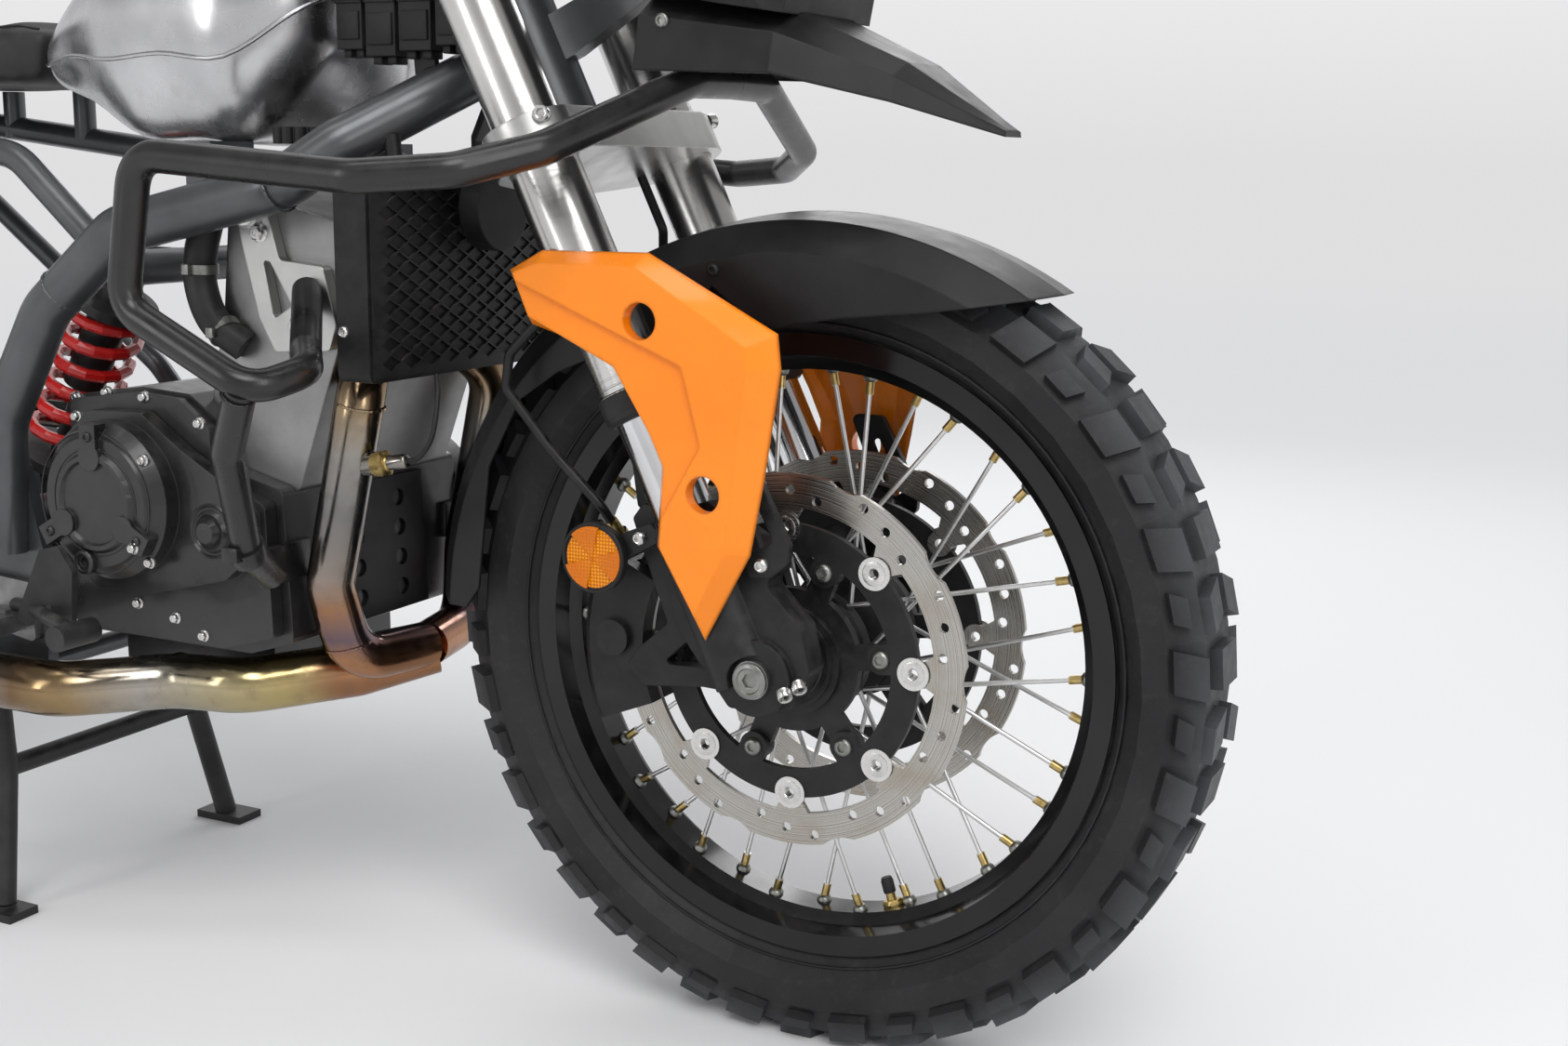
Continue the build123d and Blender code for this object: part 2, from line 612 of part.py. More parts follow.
def fork_feet():
    casting = side_plate(FOOT_CASTING, -LUG_INNER_Y - 12.0, -FOOT_CASTING_Y, corner=7.0).solid()
    strap = side_plate(STRAP_OUTLINE, -FOOT_CASTING_Y + 0.5, -FOOT_CASTING_Y - STRAP_T, corner=5.0)
    strap = strap.solid().cut(side_plate(STRAP_SLOT, -100.0, -140.0, corner=3.0).solid())
    lug = rod((0, -LUG_INNER_Y, 0), (0, -LUG_OUTER_Y, 0), FOOT_R)
    barrel = fork_rod(0, -FORK_Y, 0, FOOT_TOP, FOOT_R)
    bracket = side_plate(FOOT_BRACKET, -CALIPER_OUTER_Y - 0.4, -CALIPER_OUTER_Y - 14.0, corner=4.0)
    window = side_plate(FOOT_WINDOW, -70.0, -110.0, corner=3.0)
    arm = side_plate(((-88, 96), (-100, 108), (-140, 92), (-156, 80), (-150, 66), (-132, 72)),
                     -CALIPER_OUTER_Y - 8.0, REFLECTOR_AT[1] + SEAT_GAP, corner=3.0)
    bosses = [rod((x, -FORK_Y, z), (x, -GUARD_INNER_Y + SEAT_GAP, z), GUARD_BOSS_R) for x, z in GUARD_BOSSES]
    body = lug.fuse(barrel, bracket.cut(window).solid(), arm.solid(), casting, strap, *bosses)
    collar_room = rod((0, 0, 0), (0, -LUG_INNER_Y, 0), AXLE_COLLAR_R + SEAT_GAP)
    axle_hole = rod((0, 0, 0), (0, -200, 0), AXLE_R + 0.1)
    spot_face = rod((0, -LUG_OUTER_Y, 0), (0, -200, 0), AXLE_HEX_R + 3.0)
    leg_hole = fork_rod(0, -FORK_Y, INNER_TUBE_BOTTOM, FOOT_TOP + 40.0, INNER_TUBE_R + SEAT_GAP)
    add("fork_feet", both_sides(body.cut(axle_hole, spot_face, leg_hole, collar_room)))
    reflector = rod((REFLECTOR_AT[0], REFLECTOR_AT[1], REFLECTOR_AT[2]),
                    (REFLECTOR_AT[0], REFLECTOR_AT[1] - 7.0, REFLECTOR_AT[2]), REFLECTOR_R)
    add("fork_reflectors", both_sides(reflector))


def front_axle():
    shaft = rod((0, -LUG_OUTER_Y - 4.0, 0), (0, LUG_OUTER_Y + 4.0, 0), AXLE_R)
    collars = []
    for side in (-1, 1):
        collars.append(rod((0, side * (FRONT_HUB_END + 0.6), 0), (0, side * (LUG_INNER_Y - SEAT_GAP), 0),
                           AXLE_COLLAR_R))
        collars.append(rod((0, side * (LUG_OUTER_Y + SEAT_GAP), 0), (0, side * (LUG_OUTER_Y + 5.0), 0), AXLE_HEX_R))
    add("front_axle", shaft.fuse(*collars))


HOSE_R = 4.0
HOSE_END_R = 170.0
HOSE_END_DEG = 157.0
HOSE_END_Y = -72.0
HOSE_POINTS = (
    (-208, -96, 262), (-236, -102, 232), (-240, -102, 204), (-200, -100, 158), (-153, -97, 114), (-153, -74, 92),
)


def front_calipers():
    slot = DISC_T / 2 + PAD_GAP
    outline = [
        (-CALIPER_OUTER_Y, CALIPER_INNER_R), (-DISC_Y - slot, CALIPER_INNER_R), (-DISC_Y - slot, DISC_R + 3.0),
        (-DISC_Y + slot, DISC_R + 3.0), (-DISC_Y + slot, CALIPER_INNER_R), (-CALIPER_INNER_Y, CALIPER_INNER_R),
        (-CALIPER_INNER_Y, CALIPER_OUTER_R - 8.0), (-CALIPER_INNER_Y - 8.0, CALIPER_OUTER_R),
        (-CALIPER_OUTER_Y + 8.0, CALIPER_OUTER_R), (-CALIPER_OUTER_Y, CALIPER_OUTER_R - 8.0),
    ]
    caliper = spun(outline, 154.0, 48.0).solid()
    piston_cap = rod(polar(150.0, 178.0, -CALIPER_OUTER_Y + 1.0), polar(150.0, 178.0, -CALIPER_OUTER_Y - 6.0), 15.0)
    fitting = polar(HOSE_END_R, HOSE_END_DEG, HOSE_END_Y)
    start = [fork_point(-20, -70, LOWER_CLAMP_AT - SEAT_GAP), fork_point(-20, -70, LOWER_CLAMP_AT - 50.0)]
    hose = bent_tube([*start, *HOSE_POINTS, fitting], HOSE_R, 10.0)
    add("front_calipers", both_sides(caliper.fuse(piston_cap, hose)))


FENDER_R = 349.0
FENDER_T = 3.0
FENDER_HALF = 76.6
FENDER_START = 53.0
FENDER_ARC = 125.0
FENDER_DEPTH = 96.0
# Side view of what is open below the fender, from the front tip to the rear end
FENDER_EDGE = (
    (230, 296), (115, 279), (41, 271), (-10, 262), (-40, 272), (-66, 292), (-92, 292), (-118, 280), (-150, 240),
    (-207, 217), (-244, 192), (-276, 134), (-289, 28), (-310, 0), (0, 0), (230, 0),
)
FENDER_SHOULDER_Y = 50.0
FENDER_SHOULDER_DROP = 6.0
FENDER_SIDE_DROP = 30.0


def front_fender():
    t = FENDER_T
    low = FENDER_R - FENDER_DEPTH
    inner_r = FENDER_R - t
    half = [
        (0.0, inner_r), (FENDER_SHOULDER_Y - 2.0, inner_r - FENDER_SHOULDER_DROP),
        (FENDER_HALF - t, inner_r - FENDER_SIDE_DROP), (FENDER_HALF - t, low),
        (FENDER_HALF, low), (FENDER_HALF, FENDER_R - FENDER_SIDE_DROP),
        (FENDER_SHOULDER_Y, FENDER_R - FENDER_SHOULDER_DROP), (0.0, FENDER_R),
    ]
    shell = spun(half + [(-y, r) for y, r in reversed(half[1:-1])], FENDER_START, FENDER_ARC)
    opening = side_plate(FENDER_EDGE, -FENDER_HALF - 5.0, FENDER_HALF + 5.0, corner=3.0)
    foot_x, foot_z = STAY_FOOT
    stay = side_plate(((-60, 300), (-110, 290), (-150, 240), (foot_x - 20, foot_z + 6), (foot_x - 9, foot_z - 4),
                       (foot_x + 10, foot_z + 8), (-118, 220)), -FENDER_HALF, -FENDER_HALF + t, corner=3.0)
    boss = rod((foot_x, -FENDER_HALF + t, foot_z), (foot_x, -LUG_INNER_Y + SEAT_GAP, foot_z), STAY_BOSS_R)
    sides = [piece for shape in (stay.solid(), boss)
             for piece in (shape, mirror(shape, about=Plane.XZ).solid())]
    add("front_fender", shell.solid().cut(opening.solid()).fuse(*sides))


# Columns: x and z on the rim, x and z on the outer face
GUARD_POINTS = (
    (-208, 302, -196, 301),
    (-178, 318, -173, 309),
    (-84, 319, -88, 309),
    (24, 264, 4, 254),
    (27, 238, 5, 238),
    (14, 155, -5, 156),
    (3, 98, -12, 100),
    (-35, 28, -37, 50),
    (-77, 97, -67, 100),
    (-73, 162, -63, 160),
    (-85, 189, -76, 186),
    (-113, 240, -107, 232),
    (-188, 261, -183, 270),
)
GUARD_RECESS = (
    (-215, 303), (-125, 267), (-49, 237), (-33, 179), (-80, 98), (-100, 98), (-90, 180), (-125, 235), (-200, 250),
)
GUARD_HOLES = ((-84.0, 269.0), (-30.0, 143.0))
GUARD_HOLE_R = 14.0


def guard_form(inset, rim_y, face_y):
    """Ruled body between the rim and the outer face, drawn in by an inset."""
    sections = []
    for y, first in ((rim_y, 0), (face_y, 2)):
        face = Polygon(*[point[first:first + 2] for point in GUARD_POINTS], align=None)
        if inset:
            face = offset(face, -inset, kind=Kind.INTERSECTION)
        sections.append(Plane(origin=(0, -y, 0), x_dir=(1, 0, 0), z_dir=(0, -1, 0)) * face)
    return loft(sections, ruled=True).solid()


def fork_guards():
    shell = guard_form(0.0, GUARD_RIM_Y, GUARD_FACE_Y)
    hollow = guard_form(GUARD_WALL, GUARD_RIM_Y - 0.5, GUARD_HOLLOW_Y)
    recess = side_plate(GUARD_RECESS, -GUARD_RECESS_Y, -GUARD_FACE_Y - 5.0, corner=3.0)
    posts = [rod((x, -GUARD_INNER_Y, z), (x, -GUARD_HOLLOW_Y - 1.0, z), GUARD_BOSS_R) for x, z in GUARD_BOSSES]
    sleeves = [rod((x, -GUARD_INNER_Y, z), (x, -GUARD_HOLLOW_Y - 1.0, z), GUARD_HOLE_R + GUARD_WALL)
               for x, z in GUARD_HOLES]
    holes = [rod((x, -200, z), (x, -100, z), GUARD_HOLE_R) for x, z in GUARD_HOLES]
    body = shell.cut(hollow).fuse(*posts, *sleeves).cut(recess.solid(), *holes)
    add("fork_guards", both_sides(body))


def handlebar():
    centre = fork_point(BAR_FORWARD, 0, BAR_UP)
    half = [
        Vector(centre.X, 78.0, centre.Z),
        Vector(centre.X - 4.0, 168.0, centre.Z + 62.0),
        Vector(centre.X - 78.0, BAR_HALF, centre.Z + 78.0),
    ]
    points = [Vector(p.X, -p.Y, p.Z) for p in reversed(half)] + half
    bar = bent_tube(points, BAR_R, 45.0)
    sleeve = rod((centre.X, -70.0, centre.Z), (centre.X, 70.0, centre.Z), BAR_CENTRE_R)
    add("handlebar", bar.fuse(sleeve))
    end = Vector(half[2].X, -half[2].Y, half[2].Z)
    bend = Vector(half[1].X, -half[1].Y, half[1].Z)
    along = (bend - end).normalized()
    bore = rod(end - along * 5.0, end + along * 300.0, BAR_R + SEAT_GAP)
    grip = rod(end + along * 1.0, end + along * GRIP_L, GRIP_R)
    add("grips", both_sides(grip.cut(bore)))
    housing = rod(end + along * (GRIP_L + 4.0), end + along * (GRIP_L + 44.0), 22.0)
    perch = rod(end + along * (GRIP_L + 46.0), end + along * (GRIP_L + 66.0), 18.0)
    tip = end + along * 8.0 + Vector(44, 0, -8)
    root = end + along * (GRIP_L + 56.0) + Vector(40, 0, -4)
    lever = bent_tube([perch.center() + Vector(10, 0, 0), root, tip], 5.0, 12.0)
    tank = rod(root + Vector(-14, 0, 6), root + Vector(-14, 0, 52), 20.0)
    controls = housing.fuse(perch, lever, tank)
    add("hand_controls", both_sides(controls.cut(bore)))
    foot = root + Vector(-14, 0, 54.2)
    knee = foot + Vector(20, -30, 90)
    face = knee + Vector(0, -52, 58)
    stem = bent_tube([foot, knee, face], 5.0, 20.0)
    head = Plane(origin=face, x_dir=(0, 1, 0), z_dir=(1, 0, -0.1)) * Box(150, 88, 18)
    head = fillet(head.edges().filter_by(Axis(face, (1, 0, -0.1))), 28.0)
    add("mirrors", both_sides(stem.fuse(head.solid())))


# Chassis frame
SPAR_PATH = (
    (-388, -118, 396), (-424, -150, 362), (-600, -152, 322), (-690, -153, 250), (-742, -161, 150),
    (-750, -162.5, 30),
)


def main_frame():
    head = fork_rod(-STEM_SETBACK, 0, LOWER_CLAMP_AT + LOWER_CLAMP_T + 6.0, UPPER_CLAMP_AT - 6.0, HEAD_TUBE_R)
    root = fork_point(-STEM_SETBACK - 18.0, -6.0, 552.0)
    spar = bent_tube([root, *SPAR_PATH], SPAR_R, 46.0)
    plate = side_plate(((-735, 110), (-790, 110), (-822, 60), (-842, -60), (-838, -125), (-800, -132),
                        (-720, -100), (-705, 0)), -PLATE_INNER_Y, -PLATE_INNER_Y - PLATE_T, corner=8.0)
    pieces = [spar, mirror(spar, about=Plane.XZ).solid(), plate.solid(), mirror(plate, about=Plane.XZ).solid()]
    pieces.append(rod((-655, -150, 285), (-655, 150, 285), 16.0))
    pieces.append(rod((CENTRE_STAND_X, -PLATE_INNER_Y - 6, CENTRE_STAND_Z),
                      (CENTRE_STAND_X, PLATE_INNER_Y + 6, CENTRE_STAND_Z), STAND_PIN_R))
    pieces.append(rod((PIVOT_X, -PLATE_INNER_Y - 16, PIVOT_Z), (PIVOT_X, PLATE_INNER_Y + 16, PIVOT_Z),
                      PIVOT_SHAFT_R))
    for y in (-24.0, 16.0):
        ear = side_plate(((-650, 296), (-740, 299), (-757, 285), (-740, 270), (-650, 270)), y, y + 8.0, corner=3.0)
        pieces.append(ear.solid())
    pieces.append(rod((SHOCK_HIGH[0], -26, SHOCK_HIGH[2]), (SHOCK_HIGH[0], 26, SHOCK_HIGH[2]), 6.0))
    pieces.append(side_plate(((-300, 440), (-262, 500), (-130, 560), (-120, 540), (-232, 470)), -9.0, 9.0).solid())
    pad_top = TANK_FLOOR_Z - SEAT_GAP
    for side in (-1, 1):
        post = side_plate(((-536, 335), (-536, pad_top), (-508, pad_top), (-508, 345)),
                          side * (TANK_PAD_Y - 13.0), side * (TANK_PAD_Y + 13.0))
        shelf = side_plate(((-536, pad_top - 12.0), (-536, pad_top), (-508, pad_top), (-508, pad_top - 12.0)),
                           side * TANK_PAD_REACH, side * TANK_PAD_Y)
        pieces.extend([post.solid(), shelf.solid()])
    body = head.fuse(*pieces)
    bore = fork_rod(-STEM_SETBACK, 0, 300.0, 800.0, STEM_R + FIT_GAP)
    add("main_frame", body.cut(bore))


# Points along the right-hand rail: x, y, z
RAIL_PATH = ((-648, -118, 296), (-760, -112, 384), (-1180, -104, 430), (-1520, -100, 452))
SEAT_PADS = ((-900.0, 448.0), (-1000.0, 448.0))


def subframe():
    rail = bent_tube(RAIL_PATH, RAIL_R, 60.0)
    brace = bent_tube([(-774, -127, 98), (-822, -112, 170), (-1150, -104, 414)], RAIL_R - 2.0, 40.0)
    lug = rod((-648, -145, 290), (-648, -104, 290), 15.0)
    foot = rod((-774, -PLATE_INNER_Y + SEAT_GAP, 96), (-774, -118, 96), 12.0)
    pads = [rod((x, -106, 400), (x, -106, z - SEAT_GAP), 11.0) for x, z in SEAT_PADS]
    pieces = [rail, brace, lug, foot, *pads]
    both = [piece for shape in pieces for piece in (shape, mirror(shape, about=Plane.XZ).solid())]
    for x, z in ((-1180, 430), (-1500, 451)):
        both.append(rod((x, -104, z), (x, 104, z), RAIL_R - 2.0))
    body = both[0].fuse(*both[1:])
    add("subframe", body.cut(*NODES["main_frame"].solids()))


# Swingarm, shock and drive
def swingarm():
    tube = rod((PIVOT_X, -ARM_INNER_Y - ARM_T, PIVOT_Z), (PIVOT_X, ARM_INNER_Y + ARM_T, PIVOT_Z), 24.0)
    tail_x = REAR_AXLE.X
    tail_z = REAR_AXLE.Z
    arm = side_plate((
        (PIVOT_X + 22, PIVOT_Z - 14), (PIVOT_X + 22, PIVOT_Z + 14), (PIVOT_X, PIVOT_Z + 26),
        (PIVOT_X - 110, PIVOT_Z + 34), (tail_x + 120, tail_z + 26), (tail_x - 42, tail_z + 22),
        (tail_x - 50, tail_z - 20), (tail_x + 100, tail_z - 28), (PIVOT_X - 110, PIVOT_Z - 42),
        (PIVOT_X, PIVOT_Z - 26),
    ), -ARM_INNER_Y, -ARM_INNER_Y - ARM_T, corner=5.0)
    brace_z = SHOCK_LOW[2] - 36.0
    brace = rod((SHOCK_LOW[0], -ARM_INNER_Y - 4, brace_z), (SHOCK_LOW[0], ARM_INNER_Y + 4, brace_z), 14.0)
    ears = [side_plate(((SHOCK_LOW[0] - 18, SHOCK_LOW[2] - 34), (SHOCK_LOW[0] - 14, SHOCK_LOW[2] + 16),
                        (SHOCK_LOW[0] + 14, SHOCK_LOW[2] + 16), (SHOCK_LOW[0] + 20, SHOCK_LOW[2] - 34)),
                       y, y + 8.0, corner=3.0).solid() for y in (-24.0, 16.0)]
    body = tube.fuse(arm.solid(), mirror(arm, about=Plane.XZ).solid(), brace, *ears)
    shaft = rod((PIVOT_X, -200, PIVOT_Z), (PIVOT_X, 200, PIVOT_Z), PIVOT_SHAFT_R + FIT_GAP)
    axle = rod((tail_x, -200, tail_z), (tail_x, 200, tail_z), AXLE_R + 0.1)
    pin = rod((SHOCK_LOW[0], -60, SHOCK_LOW[2]), (SHOCK_LOW[0], 60, SHOCK_LOW[2]), 6.2)
    add("swingarm", body.cut(shaft, axle, pin))


def rear_axle():
    x, z = REAR_AXLE.X, REAR_AXLE.Z
    end = ARM_INNER_Y + ARM_T
    shaft = rod((x, -end - 8, z), (x, end + 8, z), AXLE_R)
    collars = [
        rod((x, -end - SEAT_GAP, z), (x, -end - 12, z), AXLE_HEX_R),
        rod((x, end + SEAT_GAP, z), (x, end + 12, z), AXLE_HEX_R),
        rod((x, -ARM_INNER_Y + SEAT_GAP, z), (x, -abs(REAR_DISC_Y) - 8.0, z), 17.0),
        rod((x, ARM_INNER_Y - SEAT_GAP, z), (x, CHAIN_Y + 6.0, z), 17.0),
    ]
    add("rear_axle", shaft.fuse(*collars))


SPRING_R = 34.0
SPRING_WIRE_R = 6.0
SPRING_TURNS = 6
SPRING_STEPS = 14


def rear_shock():
    low = Vector(*SHOCK_LOW)
    high = Vector(*SHOCK_HIGH)
    axis = (high - low).normalized()
    length = (high - low).length
    rod_lower = rod(low + axis * 10, low + axis * (length * 0.5), 8.0)
    body_upper = rod(low + axis * (length * 0.45), high - axis * 12, 20.0)
    seat_low = rod(low + axis * 26, low + axis * 36, SPRING_R + 8.0)
    seat_high = rod(high - axis * 52, high - axis * 42, SPRING_R + 8.0)
    eye_low = rod((low.X, -15.7, low.Z), (low.X, 15.7, low.Z), 14.0)
    pin_low = rod((low.X, -30, low.Z), (low.X, 30, low.Z), 6.0)
    eye_high = rod((high.X, -15.7, high.Z), (high.X, 15.7, high.Z), 14.0)
    pieces = [body_upper, seat_low, seat_high, eye_low, pin_low, eye_high]
    damper = rod_lower.fuse(*pieces)
    hole = rod((high.X, -60, high.Z), (high.X, 60, high.Z), 6.2)
    add("rear_shock", damper.cut(hole))
    start = low + axis * (36 + SPRING_WIRE_R + SEAT_GAP)
    span = length - 52 - 36 - 2 * SPRING_WIRE_R - 2 * SEAT_GAP
    points = []
    for step in range(SPRING_TURNS * SPRING_STEPS + 1):
        turn = 2 * pi / SPRING_STEPS * step
        rise = span / (SPRING_TURNS * SPRING_STEPS) * step
        points.append((SPRING_R * cos(turn), SPRING_R * sin(turn), rise))
    coil = Polyline(*points)
    section = Plane(origin=coil @ 0, z_dir=coil % 0) * RegularPolygon(SPRING_WIRE_R, 8)
    spring = sweep(section, path=coil, transition=Transition.RIGHT)
    add("rear_spring", (Plane(origin=start, z_dir=axis) * spring).solid())


def chain_path_points():
    """Straight-run angle, front and rear pitch radii and the sprocket centres."""
    front_r = CHAIN_PITCH / (2 * sin(pi / FRONT_TEETH))
    rear_r = CHAIN_PITCH / (2 * sin(pi / REAR_TEETH))
    front = Vector(FRONT_SPROCKET_X, 0, FRONT_SPROCKET_Z)
    run = REAR_AXLE - front
    tilt = atan2(run.Z, -run.X)
    open_angle = asin((rear_r - front_r) / run.length)
    return front, front_r, rear_r, tilt, open_angle, run.length


def chain_stations():
    """Points two pitches apart along the pitch line, each with its outward angle."""
    front, front_r, rear_r, tilt, open_angle, length = chain_path_points()
    upper = pi / 2 - tilt - open_angle
    lower = -(pi / 2 + tilt - open_angle)
    straight = length * cos(open_angle)
    rear_wrap = rear_r * (pi + 2 * open_angle)
    front_wrap = front_r * (pi - 2 * open_angle)
    total = 2 * straight + rear_wrap + front_wrap
    count = round(total / (2 * CHAIN_PITCH))

    def rim_point(centre, radius, angle):
        return centre + Vector(cos(angle), 0, sin(angle)) * radius

    stations = []
    for index in range(count):
        at = total / count * index
        if at < rear_wrap:
            angle = upper + at / rear_r
            point = rim_point(REAR_AXLE, rear_r, angle)
        elif at < rear_wrap + straight:
            angle = lower
            share = (at - rear_wrap) / straight
            start = rim_point(REAR_AXLE, rear_r, angle)
            point = start + (rim_point(front, front_r, angle) - start) * share
        elif at < rear_wrap + straight + front_wrap:
            angle = lower + (at - rear_wrap - straight) / front_r
            point = rim_point(front, front_r, angle)
        else:
            angle = upper
            share = (at - rear_wrap - straight - front_wrap) / straight
            start = rim_point(front, front_r, angle)
            point = start + (rim_point(REAR_AXLE, rear_r, angle) - start) * share
        stations.append((point, angle))
    return stations


def chain():
    """Closed loop of links: a band of straight pieces, pinched in at every second pin."""
    stations = chain_stations()
    loops = []
    for offset in (CHAIN_H / 2, -CHAIN_H / 2):
        loops.append([(point.X + offset * cos(angle), point.Z + offset * sin(angle)) for point, angle in stations])
    band = side_plate(loops[0], CHAIN_Y - CHAIN_W / 2, CHAIN_Y + CHAIN_W / 2)
    hollow = side_plate(loops[1], CHAIN_Y - CHAIN_W, CHAIN_Y + CHAIN_W)
    notches = []
    for point, angle in stations:
        out = Vector(cos(angle), 0, sin(angle))
        for side in (-1, 1):
            edge = Vector(point.X, CHAIN_Y + side * CHAIN_W / 2, point.Z) - out * CHAIN_H
            plane = Plane(origin=edge, x_dir=(-sin(angle), 0, cos(angle)), z_dir=out)
            notch = Polygon((-LINK_NOTCH_L, -side), (LINK_NOTCH_L, -side), (0, side * LINK_NOTCH_DEPTH), align=None)
            notches.append(extrude(plane * notch, amount=2 * CHAIN_H).solid())
    add("chain", band.solid().cut(hollow.solid()).cut(*notches))


def chain_guard():
    roof = side_plate(((-880, 118), (-900, 126), (-1400, 128), (-1420, 122), (-1400, 120), (-900, 118)),
                      CHAIN_Y - 14.0, CHAIN_Y + 14.0)
    wall = side_plate(((-880, 118), (-900, 126), (-1400, 128), (-1420, 122), (-1380, 60), (-1180, 52),
                       (-1000, 86)), CHAIN_Y + 11.0, CHAIN_Y + 14.0)
    foot = side_plate(((-1100, 44), (-1100, 100), (-1160, 100), (-1160, 42)), CHAIN_Y + 11.0, CHAIN_Y + 30.0)
    arm_top = NODES["swingarm"]
    add("chain_guard", roof.solid().fuse(wall.solid(), foot.solid()).cut(*arm_top.solids()))


def rear_caliper():
    slot = REAR_DISC_T / 2 + PAD_GAP
    y = REAR_DISC_Y
    outline = [
        (-112.0, 88.0), (y - slot, 88.0), (y - slot, REAR_DISC_R + 3.0), (y + slot, REAR_DISC_R + 3.0),
        (y + slot, 88.0), (-64.0, 88.0), (-64.0, 140.0), (-70.0, 148.0), (-106.0, 148.0), (-112.0, 140.0),
    ]
    boss = rod(polar(116.0, 13.0, -104.0), polar(116.0, 13.0, -ARM_INNER_Y + SEAT_GAP), 8.0)
    add("rear_caliper", Pos(*REAR_AXLE) * spun(outline, 8.0, 44.0).fuse(boss))


# Engine and exhaust
CASE_OUTLINE = (
    (-458, 104), (-452, -30), (-500, -45), (-700, -45), (-728, -10), (-738, 20), (-735, 84),
    (-690, 130), (-560, 128),
)
SUMP_OUTLINE = ((-520, -40), (-520, -96), (-560, -112), (-670, -112), (-700, -88), (-700, -40))
CYLINDER_OUTLINE = (
    (-455, 100), (-560, 124), (-530, 256), (-522, 330), (-500, 356), (-392, 330), (-384, 300), (-404, 236),
)


UPPER_CASE = ((-704, 100), (-694, 172), (-612, 184), (-558, 181), (-520, 156), (-520, 100))
COVER_STEP = (
    (-696, 40), (-690, 130), (-650, 164), (-590, 166), (-548, 138), (-500, 112), (-472, 84), (-474, 48), (-500, 26),
    (-548, 14), (-590, 4), (-650, 4),
)
COVER_TOP = ((-690, 110), (-688, 170), (-612, 181), (-560, 178), (-526, 155), (-526, 110))
# Columns: width station, radius of the ribbed pump cover
PUMP_RIBS = (
    (-130, 0), (-130, 33), (-146, 33), (-149, 30), (-146, 27), (-152, 23), (-149, 20), (-155, 16), (-152, 13),
    (-160, 9), (-160, 0),
)


def clutch_cover():
    """Right-hand cover: flange, stepped casting, domed clutch cover with three lugs, pump cover."""
    flange_y = -CASE_HALF - 14.0
    flange = side_plate(((-466, 92), (-462, -24), (-520, -40), (-690, -40), (-712, 0), (-700, 90), (-640, 124),
                         (-540, 122)), -CASE_HALF - SEAT_GAP, flange_y, corner=6.0).solid()
    top = side_plate(COVER_TOP, -CASE_HALF - SEAT_GAP, flange_y + 2.0, corner=8.0).solid()
    step = side_plate(COVER_STEP, flange_y + 1.0, flange_y - 14.0, corner=10.0).solid()
    dome = rod((CLUTCH_X, flange_y, CLUTCH_Z), (CLUTCH_X, -CLUTCH_FACE_Y, CLUTCH_Z), CLUTCH_R)
    dome = chamfer(dome.edges().filter_by(GeomType.CIRCLE).sort_by(Axis.Y)[0], 13.0)
    place = Pos(CLUTCH_X, 0, CLUTCH_Z)
    face = -CLUTCH_FACE_Y
    cap = place * spun([(face + 2.0, 0), (face + 2.0, 46), (face - 4.0, 42), (face - 4.0, 38), (face - 1.0, 36),
                        (face - 1.0, 0)])
    lugs = []
    for angle in (90.0, 210.0, 330.0):
        spoke = Pos(54, 0) * Rectangle(30, 18) + Pos(40, 0) * Circle(12)
        lugs.append((place * disc_plate(Rot(0, 0, angle) * spoke, face - 5.0, face + 8.0)).solid())
    pump = Pos(PUMP_X, 0, PUMP_Z) * spun(list(PUMP_RIBS))
    return flange.fuse(top, step, dome.solid(), cap.solid(), *lugs, pump.solid()).solid()


def engine():
    case = side_plate(CASE_OUTLINE, -CASE_HALF, CASE_HALF, corner=8.0).solid()
    sump = side_plate(SUMP_OUTLINE, -70.0, 98.0, corner=6.0).solid()
    upper = side_plate(UPPER_CASE, -CASE_HALF, CHAIN_Y - 22.0, corner=8.0).solid()
    pocket = side_plate(((-800, -60), (-800, 160), (-645, 160), (-645, -60)), CHAIN_Y - 16.0, CASE_HALF + 5.0)
    front, front_r, *drive = chain_path_points()
    shaft = rod((front.X, 84, front.Z), (front.X, CHAIN_Y + 6.0, front.Z), 16.0)
    wheel = rod((front.X, CHAIN_Y - 4.0, front.Z), (front.X, CHAIN_Y + 4.0, front.Z),
                front_r * cos(2 * pi / FRONT_TEETH) - CHAIN_H / 2 - SEAT_GAP)
    add("engine_case", case.fuse(sump, upper).cut(pocket).fuse(shaft, wheel))
    cylinders = side_plate(CYLINDER_OUTLINE, -104.0, 104.0, corner=7.0).solid()
    add("engine_top", cylinders.cut(*NODES["engine_case"].solids()))
    alternator = rod((-520, CASE_HALF + SEAT_GAP, 52), (-520, CASE_HALF + 40.0, 52), 72.0)
    alternator = chamfer(alternator.edges().filter_by(GeomType.CIRCLE).sort_by(Axis.Y)[-1], 10.0)
    cap = rod((-520, CASE_HALF + 38.0, 52), (-520, CASE_HALF + 44.0, 52), 34.0)
    sprocket_cover = side_plate(((-645.3, 118), (-738, 104), (-744, 62), (-738, 20), (-645.3, 2)),
                                CHAIN_Y + 13.0, CASE_HALF + 5.0, corner=10.0)
    add("engine_covers", Compound(children=[clutch_cover(), alternator.solid().fuse(cap), sprocket_cover.solid()]))


HANGER_OUTLINE = (
    (-504, 344), (-490, 358), (-472, 350), (-458, 300), (-412, 296), (-400, 248), (-408, 226), (-466, 222),
    (-482, 250), (-498, 312),
)
HANGER_EYE = (-486.0, 341.0)


